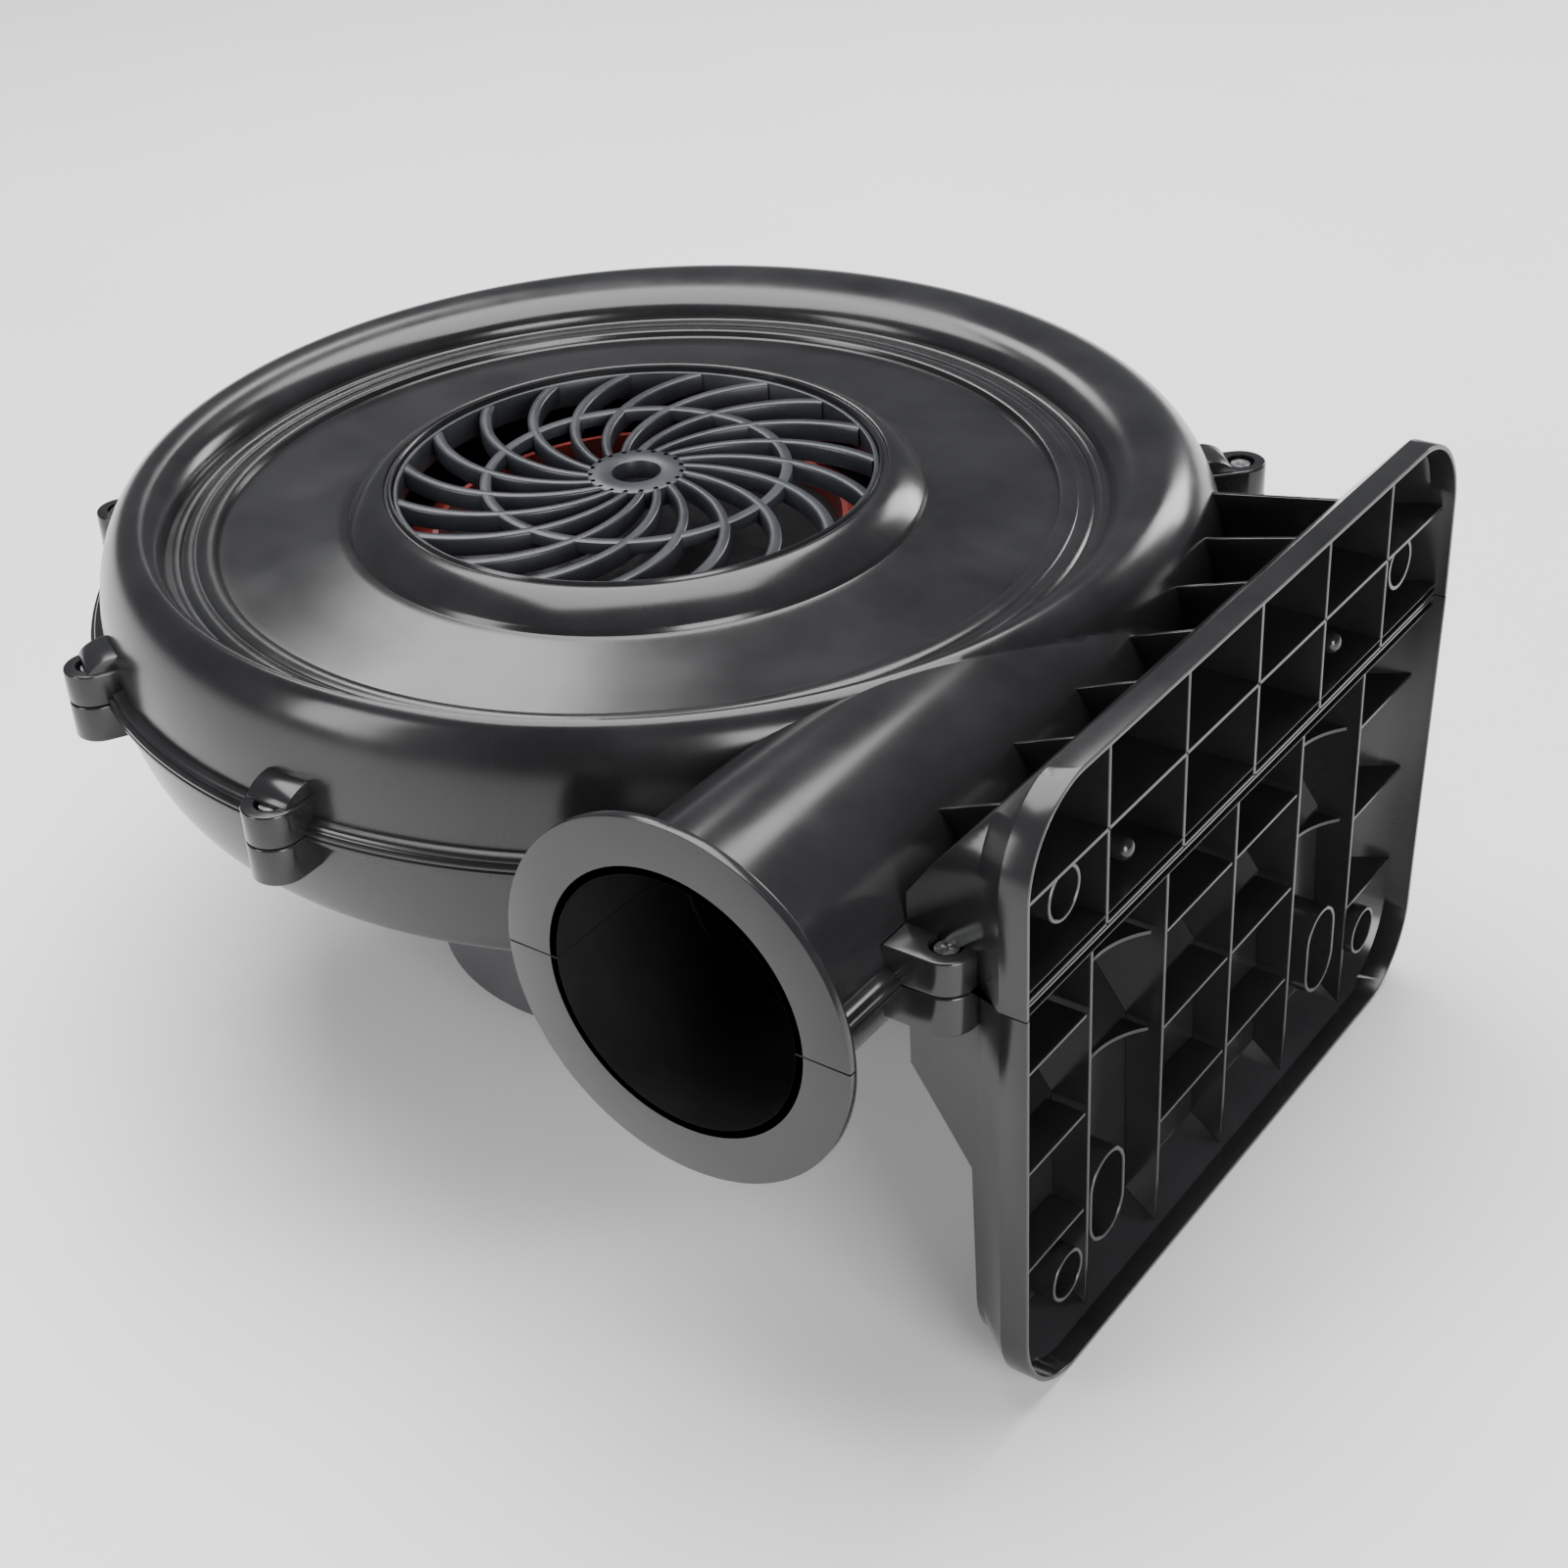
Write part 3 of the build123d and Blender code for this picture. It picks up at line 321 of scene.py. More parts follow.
# ---- seam bosses -------------------------------------------------------------------------
BOSS_R, BOSS_UP, BOSS_DOWN = 11.0, 14.0, 16.0
BOSS_SINK = 1.5         # how far a boss reaches into the wall
HEAD_R, HEAD_DEPTH = 6.2, 4
NUT_R, NUT_DEPTH = 4.79, 5
SCREW_HOLE_R, SCREW_REACH = 2.3, 40
WEB_OUT, WEB_RISE = 13, 7
RIDGE_X, RIDGE_Y = -6.0, 29.0
BOSS_CIRCLE_R = 249.6
BOSS_ANGLES = (-121.3, -154.0, 173.0, 140.5, 108.0, 75.0, 44.0)
FRONT_BOSS, FOOT_BOSS = (-0.5, -220.5), (255.0, -167.0)


def boss_places():
    """Seam screws: (x, y, outward angle in degrees, how far the block reaches back)."""
    spots = [polar(RIDGE_X, RIDGE_Y, BOSS_CIRCLE_R, angle) for angle in BOSS_ANGLES]
    spots.append(FRONT_BOSS)
    places = []
    for x, y in spots:
        angle = math.degrees(math.atan2(y - DRUM_Y, x - DRUM_X))
        places.append((x, y, angle, math.hypot(x - DRUM_X, y - DRUM_Y) - DRUM_R + BOSS_SINK))
    places.append((*FOOT_BOSS, 0.0, FOOT_BOSS[0] - OUTLET_X - OUTLET_R + BOSS_SINK))
    return places


def boss(x, y, angle, back, sign):
    """A round-nosed block on the wall with a recess for the screw head or the nut."""
    turn = math.radians(angle)
    nose_steps, web_steps = 24, 12

    def place(u, v):
        return (x + u * math.cos(turn) - v * math.sin(turn), y + u * math.sin(turn) + v * math.cos(turn))

    outline = [place(-back, -BOSS_R)]
    for k in range(nose_steps + 1):
        a = math.radians(-90 + 180 * k / nose_steps)
        outline.append(place(BOSS_R * math.cos(a), BOSS_R * math.sin(a)))
    outline.append(place(-back, BOSS_R))
    height = BOSS_UP if sign > 0 else BOSS_DOWN
    ends = sorted((SEAM + sign * SEAM_GAP, SEAM + sign * height))
    body = prism("boss", outline, *ends)
    bevel(body, 0.9, 3, 50)
    if sign > 0:
        end = SEAM + BOSS_UP
        recess_cut = prism("cut", disc(x, y, HEAD_R), end - HEAD_DEPTH, end + 6)
    else:
        end = SEAM - BOSS_DOWN
        hexagon = [polar(x, y, NUT_R, 60 * k) for k in range(6)]
        recess_cut = prism("cut", hexagon, end - 4, end + NUT_DEPTH)
    combine(body, recess_cut, "DIFFERENCE")
    hole = prism("cut", disc(x, y, SCREW_HOLE_R, 24), SEAM - SCREW_REACH, SEAM + SCREW_REACH)
    combine(body, hole, "DIFFERENCE")
    pieces = [body]
    if sign > 0 and angle:
        # rounded web that runs from the boss up the wall
        web = []
        for k in range(web_steps + 1):
            a = math.radians(90 * k / web_steps)
            web.append((-back + WEB_OUT * math.cos(a), BOSS_UP - 1 + WEB_RISE * math.sin(a)))
        web += [(-back - 6, BOSS_UP + 6), (-back - 6, BOSS_UP - 2)]
        rings = []
        for v in (-BOSS_R + 1, BOSS_R - 1):
            rings.append([(*place(u, v), SEAM + h) for u, h in web])
        pieces.append(bevel(ring_solid("web", rings), 0.8, 2, 50))
    return join("boss", pieces)


# ---- outlet flange ------------------------------------------------------------------------
def flange(sign):
    """Half of the flange; its face is the outlet's end."""
    edge, corner = 0.5, 0.15
    split = 0.35            # from the seam to the end of the half, at the rim
    steps = 96
    section = [(BORE_R, 0), (FLANGE_R - edge, 0), (FLANGE_R - corner, corner), (FLANGE_R, edge),
               (FLANGE_R, FLANGE_T - edge), (FLANGE_R - corner, FLANGE_T - corner),
               (FLANGE_R - edge, FLANGE_T),
               (OUTLET_R + 2.2, FLANGE_T), (OUTLET_R + 0.6, FLANGE_T + 0.7), (OUTLET_R - 0.1, FLANGE_T + 2.4),
               (BORE_R, FLANGE_T + 2.4)]
    rings = []
    tilt = math.degrees(split / FLANGE_R)
    for k in range(steps + 1):
        a = math.radians(tilt + (180 - 2 * tilt) * k / steps) * sign
        rings.append([(OUTLET_X + r * math.cos(a), FLANGE_Y + d, SEAM + r * math.sin(a)) for r, d in section])
    return ring_solid("flange", rings)


# ---- foot plate ----------------------------------------------------------------------------
BACK_PROFILE = ((FOOT_X, 79.0), (279.5, 78.5), (246.5, 39.5), (237.0, 26.0), (237.0, -45.0),
                (262.0, -80.0), (264.0, -165.0), (279.0, -178.5), (FOOT_X, -179.0))
FOOT_BOSSES = ((-139.0, 27.7), (121.5, 29.2), (-133.5, -144.1), (115.0, -143.6))
RACETRACKS = ((-98.8, -133.0), (79.9, -133.0))
POSTS = ((-88.0, 14.0), (75.0, 15.0))
POST_SHAPE = ((236, 4.8), (276, 4.5), (278, 4.3), (279.4, 3.4), (280.2, 2.0), (280.5, 0.6))
LOWER_RIB_H = (-38.3, -82.2, -127.1)
UPPER_RIB_H = 39.3
SEAM_STRIPS = ((SEAM_GAP, RIB), (4.2, 5.0))
SCOOPED_COLUMNS = (1, 4)
SCOOP_R, SCOOP_OUT = 36, 22
GUSSET_Y = (-124.0, -75.0, -31.0, 12.0, 55.0, 96.5, 134.0)
GUSSET_T = 2.2
FOOT_CORNER, FOOT_LEAN, FOOT_BACK = 36, 9.0, 232.0
FOOT_TAPER = ((266, 9, 30), (FOOT_BACK, 11, 28))    # (x, further in, corner radius) behind the rim


def foot_outline(inset, x, corner):
    """The foot's outline at one depth, with rounded corners; its far edge leans in below the seam."""
    near, far = FOOT_NEAR + inset, FOOT_FAR - inset
    top, bottom = FOOT_TOP - inset, FOOT_BOTTOM + inset
    points = []
    steps = 16
    corners = [(near + corner, bottom + corner, 180), (far - FOOT_LEAN - corner, bottom + corner, 270),
               (far - corner, top - corner, 0), (near + corner, top - corner, 90)]
    for index, (cy, cz, start) in enumerate(corners):
        for k in range(steps + 1):
            a = math.radians(start + 90 * k / steps)
            points.append((x, cy + corner * math.cos(a), SEAM + cz + corner * math.sin(a)))
        if index == 1:
            points.append((x, far, SEAM))
    return points


def foot_block(inset):
    """The outside or the inside of the tray as a solid."""
    lip = 1.0 if inset else 0.0
    (mid_x, mid_in, mid_corner), (back_x, back_in, back_corner) = FOOT_TAPER
    rings = [foot_outline(inset, FOOT_X + lip, FOOT_CORNER - inset),
             foot_outline(inset, FOOT_X - RIM_DEPTH, FOOT_CORNER - inset),
             foot_outline(inset + mid_in, mid_x - inset, mid_corner - inset),
             foot_outline(inset + back_in, back_x, back_corner - inset)]
    whole = ring_solid("tray", rings)
    profile = []
    for x, h in BACK_PROFILE:
        h = max(min(h, FOOT_TOP - inset), FOOT_BOTTOM + inset)
        profile.append((x + (inset if x < FOOT_X else 1.0), SEAM + h))
    return combine(whole, prism("profile", profile, FOOT_NEAR - 5, FOOT_FAR + 5, axis="y"), "INTERSECT")


def tube_x(y, h, outer, inner, top, floor):
    """A round boss along X with a blind hole."""
    body = prism("tube", disc(y, SEAM + h, outer), 238, top, axis="x")
    return combine(body, prism("hole", disc(y, SEAM + h, inner), floor, top + 2, axis="x"), "DIFFERENCE")


def slot_outline(y, h, width, height):
    """A racetrack standing upright."""
    r = width / 2
    reach = height / 2 - r
    points = []
    steps = 16
    for start, shift in ((0, reach), (180, -reach)):
        for k in range(steps + 1):
            a = math.radians(start + 180 * k / steps)
            points.append((y + r * math.cos(a), SEAM + h + shift + r * math.sin(a)))
    return points


def upper_ribs(top_x):
    """The level rib and the round posts in the upper half of the tray."""
    level = SEAM + UPPER_RIB_H
    pieces = [block("rib", (FOOT_BACK, FOOT_NEAR, level - RIB / 2), (top_x, FOOT_FAR, level + RIB / 2))]
    for y, h in POSTS:
        rings = [[(x, a, b) for a, b in disc(y, SEAM + h, r, 32)] for x, r in POST_SHAPE]
        pieces.append(ring_solid("post", rings))
    return pieces


def lower_ribs(top_x):
    """The level ribs, two columns of them scooped out, and the racetrack bosses of the lower half."""
    pieces = []
    edges = [FOOT_NEAR] + RIB_Y + [FOOT_FAR]
    for column in range(6):
        y0, y1 = edges[column], edges[column + 1]
        for level, h in enumerate(LOWER_RIB_H):
            if column in SCOOPED_COLUMNS and level == 2:
                continue
            rib = block("rib", (FOOT_BACK, y0, SEAM + h - RIB / 2), (top_x, y1 - 3, SEAM + h + RIB / 2))
            if column in SCOOPED_COLUMNS:
                round_cut = disc(top_x + SCOOP_OUT, (y0 + y1) / 2, SCOOP_R, 96)
                rib = combine(rib, prism("scoop", round_cut, SEAM + h - 4, SEAM + h + 4), "DIFFERENCE")
            pieces.append(rib)
    for y, h in RACETRACKS:
        body = prism("racetrack", slot_outline(y, h, 26, 40), 258, top_x, axis="x")
        hole = prism("hole", slot_outline(y, h, 22.6, 36.6), 250, top_x + 2, axis="x")
        pieces.append(combine(body, hole, "DIFFERENCE"))
    return pieces


def foot_ribs(sign, inside):
    """Ribs, bosses and posts in one half of the tray, each cut to the tray."""
    top_x = UPPER_RIB_X if sign > 0 else LOWER_RIB_X
    half = FOOT_TOP if sign > 0 else FOOT_BOTTOM
    low, high = sorted((SEAM + sign * SEAM_GAP, SEAM + half))
    pieces = [block("rib", (FOOT_BACK, y - RIB / 2, low), (top_x, y + RIB / 2, high)) for y in RIB_Y]
    for near_h, far_h in SEAM_STRIPS:
        ends = sorted((SEAM + sign * near_h, SEAM + sign * far_h))
        pieces.append(block("rib", (FOOT_BACK, FOOT_NEAR, ends[0]), (UPPER_RIB_X, FOOT_FAR, ends[1])))
    pieces += upper_ribs(top_x) if sign > 0 else lower_ribs(top_x)
    for y, h in FOOT_BOSSES:
        if (h > 0) == (sign > 0):
            pieces.append(tube_x(y, h, 10.5, 9.0, 283.0, 269.0))
    done = []
    for piece in pieces:
        cut = combine(piece, copy_of(inside), "INTERSECT")
        if cut.data.polygons:
            done.append(bevel(cut, 0.28, 1, 50))
        else:
            bpy.data.objects.remove(cut)
    return done


def skin_x(y, height):
    """Where the outer skin stands on the foot side, at a given y and height from the seam."""
    rise = max(height - SHOULDER_START, 0) / (CREST - SHOULDER_START)
    lean = 1 - math.sqrt(1 - rise ** 2)
    share = 1 - SHOULDER_SHARE * lean
    drum = DRUM_X * share + math.sqrt((DRUM_R - SHOULDER * lean) ** 2 - (y - DRUM_Y * share) ** 2)
    reach = math.sqrt(OUTLET_R ** 2 - height ** 2)
    if y < BEND_Y:
        return max(drum, OUTLET_X + reach)
    return max(drum, DRUM_X + math.sqrt((OUTLET_X - DRUM_X + reach) ** 2 - (y - BEND_Y) ** 2))


def gussets(sign):
    """Thin plates between the volute and the back of the foot."""
    skin_heights = (SEAM_GAP, 9, 18, 27, 33) if sign > 0 else (SEAM_GAP, 9, 18, 27)
    back = ((251.5, 44), (246.5, 37)) if sign > 0 else ((246.0, 27),)
    back += ((238.5, SEAM_GAP),)
    pieces = []
    for y in GUSSET_Y:
        outline = [(skin_x(y, h) - WALL / 2, SEAM + sign * h) for h in skin_heights]
        outline += [(x, SEAM + sign * h) for x, h in back]
        plate = prism("gusset", outline, y - GUSSET_T / 2, y + GUSSET_T / 2, axis="y")
        pieces.append(bevel(plate, 0.4, 2))
    return pieces


def half_space(sign):
    """Everything on one side of the seam."""
    ends = sorted((SEAM + sign * SEAM_GAP, SEAM + sign * 300))
    return block("half", (-400, -400, ends[0]), (400, 400, ends[1]))


def satin(piece):
    """Marks the faces that take the duller finish of the flange and the foot."""
    piece.data.polygons.foreach_set("material_index", [1] * len(piece.data.polygons))
    return piece


# ---- the two shells ------------------------------------------------------------------------
SHAFT_HOLE_R = 16.0


def volute(name, sign):
    """Drum, shoulder and tube of one half, with the outlet's bore and the hose socket.

    In the upper half the Boolean that takes the room away fails, so that half stays solid.
    """
    top = CREST if sign > 0 else FLOOR_DEPTH
    outer_rings = wall_rings(0, top, sign)
    room_rings = wall_rings(WALL, top - WALL, sign)
    if sign > 0:
        outer_rings += flank_rings(0, 0)
        room_rings += flank_rings(WALL, WALL)
    body = ring_solid(name, outer_rings)
    room = ring_solid("room", room_rings)
    tube = duct("duct", OUTLET_R, True)
    bore = duct("bore", TUBE_R, False, start=FLANGE_Y - CLEAR)
    if sign > 0:
        tube = combine(tube, recess(0.6, 0.6), "DIFFERENCE")
        bore = combine(bore, recess(WALL, WALL + 0.6), "DIFFERENCE")
    body = combine(body, tube, "UNION")
    body = combine(body, room, "DIFFERENCE")
    body = combine(body, bore, "DIFFERENCE")
    socket = prism("socket", disc(OUTLET_X, SEAM, BORE_R, 96), FLANGE_Y - CLEAR, FLANGE_Y + SOCKET_DEPTH,
                   axis="y")
    body = combine(body, socket, "DIFFERENCE")
    return combine(body, half_space(sign), "INTERSECT")


def foot_half(sign):
    """One half of the tray with what stands in it."""
    outside, inside = foot_block(0), foot_block(FOOT_WALL)
    room_half = combine(copy_of(inside), half_space(sign), "INTERSECT")
    ribs = foot_ribs(sign, room_half)
    bpy.data.objects.remove(room_half)
    tray = combine(outside, inside, "DIFFERENCE")
    tray = combine(tray, half_space(sign), "INTERSECT")
    return [bevel(tray, 0.5, 2, 40)] + ribs


def make_shell(name, sign):
    """One moulded half: volute, tube, flange, foot half, ridge, bosses, gussets and ribs."""
    body = volute(name, sign)
    if sign > 0:
        opening = disc(0, 0, DISC_R - 2.6, AROUND)
        pieces = [combine(body, prism("opening", opening, SEAM + 20, SEAM + 80), "DIFFERENCE")]
        over, under = disc_profile()
        rings = [circle(0, 0, r, SEAM + h) for r, h in over + under]
        pieces.append(ring_solid("disc", rings, capped=False))
    else:
        opening = disc(0, 0, SHAFT_HOLE_R)
        pieces = [combine(body, prism("opening", opening, SEAM - 80, SEAM - 20), "DIFFERENCE")]
    pieces.append(satin(flange(sign)))
    pieces.append(seam_ridge("ridge", sign))
    pieces += [satin(piece) for piece in foot_half(sign)]
    pieces += [satin(plate) for plate in gussets(sign)]
    pieces += [boss(*place, sign) for place in boss_places()]
    shell = join(name, pieces)
    smooth(shell)
    return shell


# ---- intake grille --------------------------------------------------------------------------
VANES, VANE_TOP, VANE_DEPTH = 19, 53.3, 8.0
VANE_START, VANE_OUTER_T, VANE_INNER_T = 1.0, 5.5, 3.7
VANE_PATH = ((98.8, -22.0), (62.0, 0.0), (18.0, 30.0))      # (radius, angle) of three points on the arc
HUB_RING, MIDDLE_RING, RIM_RING = (10.0, 20.4), (59.6, 64.4), (97.6, 99.8)


def revolved(name, section, count=192):
    """A ring from a closed section of (r, height) points."""
    return ring_solid(name, [circle(0, 0, r, SEAM + h, count) for r, h in section], capped=False)


def vane(turn):
    """One curved vane from the rim to the hub, narrower towards the hub."""
    steps = 32
    (ax, ay), (bx, by), (cx, cy) = [polar(0, 0, r, angle + turn) for r, angle in VANE_PATH]
    # centre of the circle through the three points
    aa, bb, cc = ax * ax + ay * ay, bx * bx + by * by, cx * cx + cy * cy
    d = 2 * (ax * (by - cy) + bx * (cy - ay) + cx * (ay - by))
    ox = (aa * (by - cy) + bb * (cy - ay) + cc * (ay - by)) / d
    oy = (aa * (cx - bx) + bb * (ax - cx) + cc * (bx - ax)) / d
    r = math.hypot(ax - ox, ay - oy)
    start = math.atan2(ay - oy, ax - ox)
    sweep = math.atan2(cy - oy, cx - ox) - start
    sweep = (sweep + math.pi) % (2 * math.pi) - math.pi
    rings = []
    for k in range(steps + 1):
        a = start + sweep * k / steps
        half = (VANE_OUTER_T + (VANE_INNER_T - VANE_OUTER_T) * k / steps) / 2
        section = [(-half + 0.5, -VANE_DEPTH), (-half, -VANE_DEPTH + 0.5), (-half, -1.1), (-half + 0.3, -0.4),
                   (-half + 0.9, 0.0), (half - 0.9, 0.0), (half - 0.3, -0.4), (half, -1.1),
                   (half, -VANE_DEPTH + 0.5), (half - 0.5, -VANE_DEPTH)]
        rings.append([(ox + (r + u) * math.cos(a), oy + (r + u) * math.sin(a), SEAM + VANE_TOP + h)
                      for u, h in section])
    return ring_solid("vane", rings)


def rounded(inner, outer, low, high, edge=0.7):
    """A ring section with softened upper edges."""
    return [(inner, low), (inner, high - edge), (inner + edge * 0.3, high - edge * 0.3), (inner + edge, high),
            (outer - edge, high), (outer - edge * 0.3, high - edge * 0.3), (outer, high - edge), (outer, low)]


def make_grille(name):
    """Curved vanes between a hub ring and a rim, with one ring half way."""
    pieces = [vane(VANE_START + 360 / VANES * k) for k in range(VANES)]
    pieces.append(revolved("hub", rounded(*HUB_RING, VANE_TOP - VANE_DEPTH, VANE_TOP)))
    pieces.append(revolved("middle", rounded(*MIDDLE_RING, VANE_TOP - 5, VANE_TOP - 0.05)))
    pieces.append(revolved("rim", rounded(*RIM_RING, 42.2, VANE_TOP + 0.4, 0.5)))
    whole = join(name, pieces)
    smooth(whole, 40)
    return whole


# ---- finishes --------------------------------------------------------------------------------
NOISE_LOW, NOISE_HIGH = 0.3, 0.7        # the part of the noise's range that is used
FLECK_LOW, FLECK_HIGH = 0.66, 0.74
COAT_ROUGH = 0.1


def finish(name, colour, rough, metal=0.0, spread=0.06, shade=0.25, scale=60.0, grain=900.0, bump=0.02,
           stretch=(1, 1, 1), coat=0.0, fleck=0.0):
    """A surface whose colour, roughness and height vary with layered noise."""
    made = bpy.data.materials.new(name)
    made.use_nodes = True
    tree = made.node_tree
    shader = tree.nodes["Principled BSDF"]
    shader.inputs["Metallic"].default_value = metal
    shader.inputs["Coat Weight"].default_value = coat
    shader.inputs["Coat Roughness"].default_value = COAT_ROUGH

    def node(kind, **values):
        new = tree.nodes.new(kind)
        for key, value in values.items():
            if hasattr(new, key):
                setattr(new, key, value)
            else:
                new.inputs[key.replace("_", " ")].default_value = value
        return new

    def link(a, out, b, into):
        tree.links.new(a.outputs[out], b.inputs[into])

    place = node("ShaderNodeTexCoord")
    mapping = node("ShaderNodeMapping")
    mapping.inputs["Scale"].default_value = stretch
    link(place, "Object", mapping, "Vector")
    broad = node("ShaderNodeTexNoise", Scale=scale, Detail=5.0, Roughness=0.6)
    fine = node("ShaderNodeTexNoise", Scale=grain, Detail=3.0, Roughness=0.65)
    link(mapping, "Vector", broad, "Vector")
    link(mapping, "Vector", fine, "Vector")
    ramp = node("ShaderNodeValToRGB")
    dark, light = ramp.color_ramp.elements
    dark.position, light.position = NOISE_LOW, NOISE_HIGH
    dark.color = (*[c * (1 - shade) for c in colour], 1)
    light.color = (*[min(c * (1 + shade), 1) for c in colour], 1)
    link(broad, "Fac", ramp, "Fac")
    if fleck:
        speck = node("ShaderNodeValToRGB")
        none, full = speck.color_ramp.elements
        none.position, full.position = FLECK_LOW, FLECK_HIGH
        full.color = (fleck, fleck, fleck, 1)
        link(fine, "Fac", speck, "Fac")
        mix = node("ShaderNodeMix", data_type="RGBA", blend_type="ADD")
        mix.inputs["Factor"].default_value = 1.0
        # by number: the two colour inputs and the colour output share their names with others
        tree.links.new(ramp.outputs["Color"], mix.inputs[6])
        tree.links.new(speck.outputs["Color"], mix.inputs[7])
        tree.links.new(mix.outputs[2], shader.inputs["Base Color"])
    else:
        link(ramp, "Color", shader, "Base Color")
    gloss = node("ShaderNodeMapRange")
    gloss.inputs["From Min"].default_value, gloss.inputs["From Max"].default_value = NOISE_LOW, NOISE_HIGH
    gloss.inputs["To Min"].default_value = rough - spread
    gloss.inputs["To Max"].default_value = rough + spread
    link(broad, "Fac", gloss, "Value")
    link(gloss, "Result", shader, "Roughness")
    dents = node("ShaderNodeBump")
    dents.inputs["Strength"].default_value = min(bump * 10, 1.0)
    dents.inputs["Distance"].default_value = bump * MM
    link(fine, "Fac", dents, "Height")
    link(dents, "Normal", shader, "Normal")
    return made


FINISHES = {
    "shell_plastic": finish("shell_plastic", (0.014, 0.014, 0.015), 0.2, spread=0.035, scale=22, bump=0.012),
    "grille_plastic": finish("grille_plastic", (0.022, 0.024, 0.029), 0.34, scale=40, bump=0.03),
    "cover_plastic": finish("cover_plastic", (0.05, 0.05, 0.053), 0.5, scale=30, grain=1600, bump=0.08),
    "zinc_steel": finish("zinc_steel", (0.72, 0.73, 0.74), 0.26, metal=1.0, scale=300, bump=0.03),
    "black_rubber": finish("black_rubber", (0.025, 0.025, 0.025), 0.68, scale=120, bump=0.08),
    "white_nylon": finish("white_nylon", (0.78, 0.77, 0.72), 0.5, shade=0.05, scale=90, bump=0.04),
    "brass": finish("brass", (0.78, 0.6, 0.28), 0.3, metal=1.0, shade=0.12, scale=200, bump=0.03),
    "silicon_steel": finish("silicon_steel", (0.32, 0.32, 0.33), 0.4, metal=1.0, scale=60, grain=500,
                            bump=0.1, stretch=(0.2, 0.2, 6)),
    "enamelled_copper": finish("enamelled_copper", (0.48, 0.19, 0.06), 0.3, metal=0.6, scale=250, grain=700,
                               bump=0.15, coat=0.5),
    "cast_aluminium": finish("cast_aluminium", (0.6, 0.61, 0.62), 0.48, metal=1.0, shade=0.12, scale=180,
                             bump=0.12),
    "bearing_steel": finish("bearing_steel", (0.6, 0.61, 0.62), 0.16, metal=1.0, shade=0.08, scale=300,
                            bump=0.01),
    "shaft_steel": finish("shaft_steel", (0.56, 0.57, 0.58), 0.24, metal=1.0, shade=0.1, scale=60, grain=600,
                          bump=0.03, stretch=(0.3, 0.3, 8)),
    "capacitor_plastic": finish("capacitor_plastic", (0.03, 0.03, 0.033), 0.42, scale=80, bump=0.04),
    "fan_plastic": finish("fan_plastic", (0.03, 0.03, 0.03), 0.45, scale=80, bump=0.05),
    "impeller_plastic": finish("impeller_plastic", (0.17, 0.022, 0.018), 0.36, scale=50, bump=0.04),
}
SATIN = finish("shell_satin", (0.03, 0.03, 0.031), 0.34, spread=0.06, scale=26, grain=1200, bump=0.05,
               fleck=0.01)

# ---- pieces around the frame -------------------------------------------------------------------
for name, sign in (("upper_shell", 1), ("lower_shell", -1)):
    shell = make_shell(name + "_skin", sign)
    shell.data.materials.clear()
    shell.data.materials.append(FINISHES["shell_plastic"])
    shell.data.materials.append(SATIN)
    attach(shell, "housing")
    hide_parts(name)

grille = make_grille("intake_grille_skin")
grille.data.materials.clear()
grille.data.materials.append(FINISHES["grille_plastic"])
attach(grille, "housing")
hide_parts("intake_grille")

SLOT_OF = {part["node"]: part["material_slot"] for part in frame["record"]["subparts"]}
for name, piece in frame["nodes"].items():
    skin = FINISHES[SLOT_OF[name]]
    if piece.data.materials:
        for index in range(len(piece.data.materials)):
            piece.data.materials[index] = skin
    else:
        piece.data.materials.append(skin)

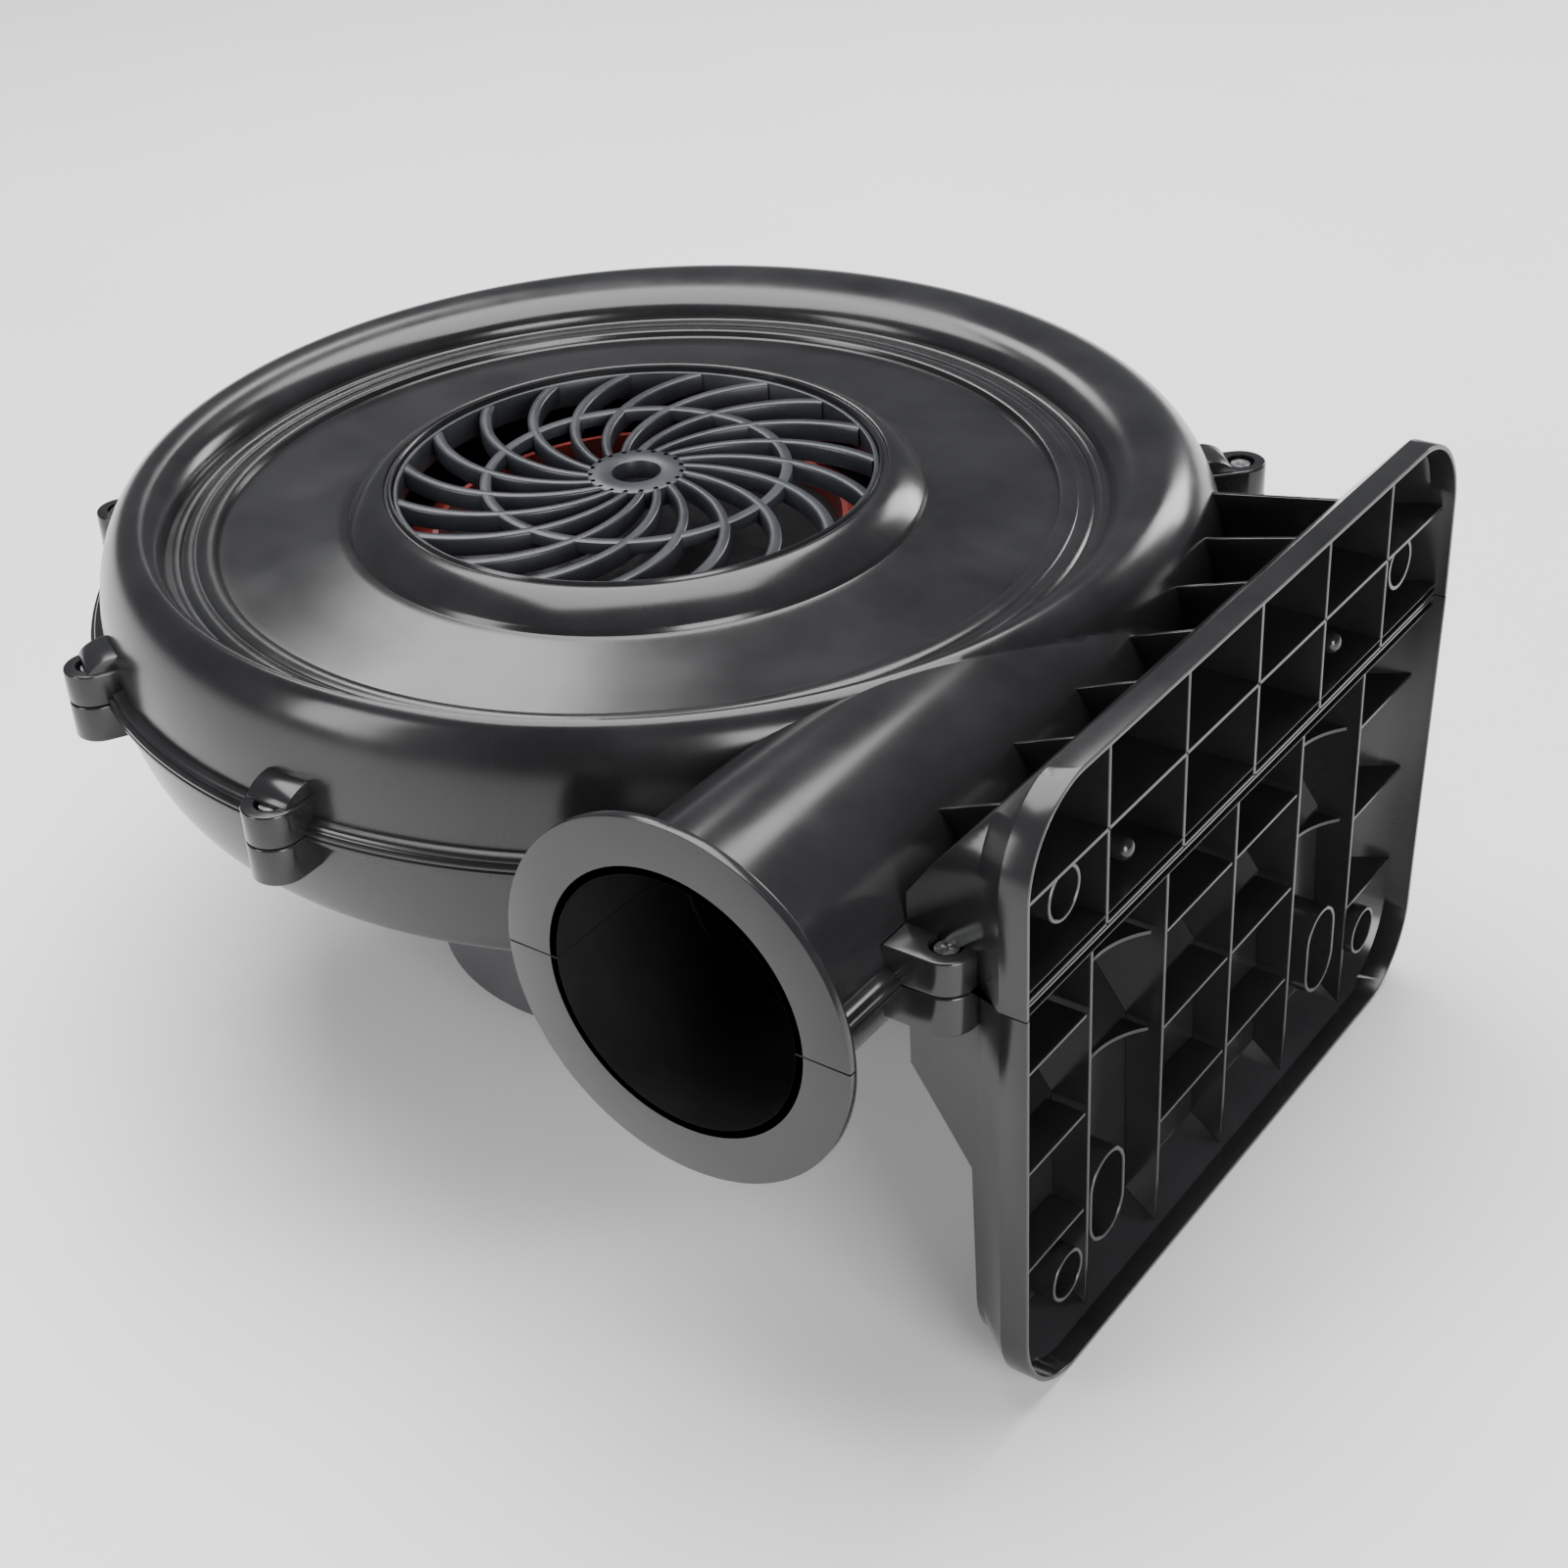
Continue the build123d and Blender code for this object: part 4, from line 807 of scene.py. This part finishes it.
# ---- floor, light and camera ---------------------------------------------------------------------
FLOOR_SIZE, FLOOR_GAP = 14, 0.0004      # metres
low = min(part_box("lower_shell")[0][2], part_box("motor_cover")[0][2])
bpy.ops.mesh.primitive_plane_add(size=FLOOR_SIZE, location=(0, 0, low - FLOOR_GAP))
floor = bpy.context.object
floor.name = "floor"
floor.data.materials.append(finish("floor_paint", (0.93, 0.93, 0.935), 0.6, shade=0.01, scale=3, bump=0.01))

world = bpy.data.worlds.new("studio")
bpy.context.scene.world = world
world.use_nodes = True
world.node_tree.nodes["Background"].inputs["Color"].default_value = (0.75, 0.77, 0.8, 1)
world.node_tree.nodes["Background"].inputs["Strength"].default_value = 0.22


def softbox(name, place, target, wide, tall, power):
    """A rectangular light turned to a target; places in metres, power in watts."""
    lamp = bpy.data.lights.new(name, "AREA")
    lamp.shape = "RECTANGLE"
    lamp.size, lamp.size_y = wide, tall
    lamp.energy = power
    holder = new_object(name, lamp)
    holder.location = place
    holder.rotation_euler = (Vector(target) - Vector(place)).to_track_quat("-Z", "Y").to_euler()


softbox("overhead", (-0.35, 0.35, 2.3), (0, 0, 0.1), 2.2, 2.2, 125)
softbox("strip", (-1.32, 1.10, 1.60), (0.02, -0.1, 0.2), 0.40, 0.66, 7)
softbox("front_left", (-0.9, -1.9, 0.9), (0, 0, 0.1), 0.7, 1.2, 22)
softbox("right", (1.9, -1.0, 0.7), (0.25, -0.1, 0.05), 0.9, 1.2, 42)
softbox("back", (0.35, 2.2, 0.9), (0, 0, 0.2), 0.5, 0.9, 16)

camera = bpy.data.cameras.new("camera")
camera.sensor_width = 36.0
camera.lens = 60.345
viewer = new_object("camera", camera)
BACK = Vector((0.5076, -0.6736, 0.5373))
RIGHT = Vector((0.7986, 0.6018, 0))
UP = Vector((-0.3234, 0.4291, 0.8434))
ROLL = math.radians(-3.3)
side = math.cos(ROLL) * RIGHT + math.sin(ROLL) * UP
top = -math.sin(ROLL) * RIGHT + math.cos(ROLL) * UP
turn = Matrix((side, top, BACK)).transposed().to_4x4()
turn.translation = (0.6327, -0.7512, 0.6827)
viewer.matrix_world = turn
bpy.context.scene.camera = viewer
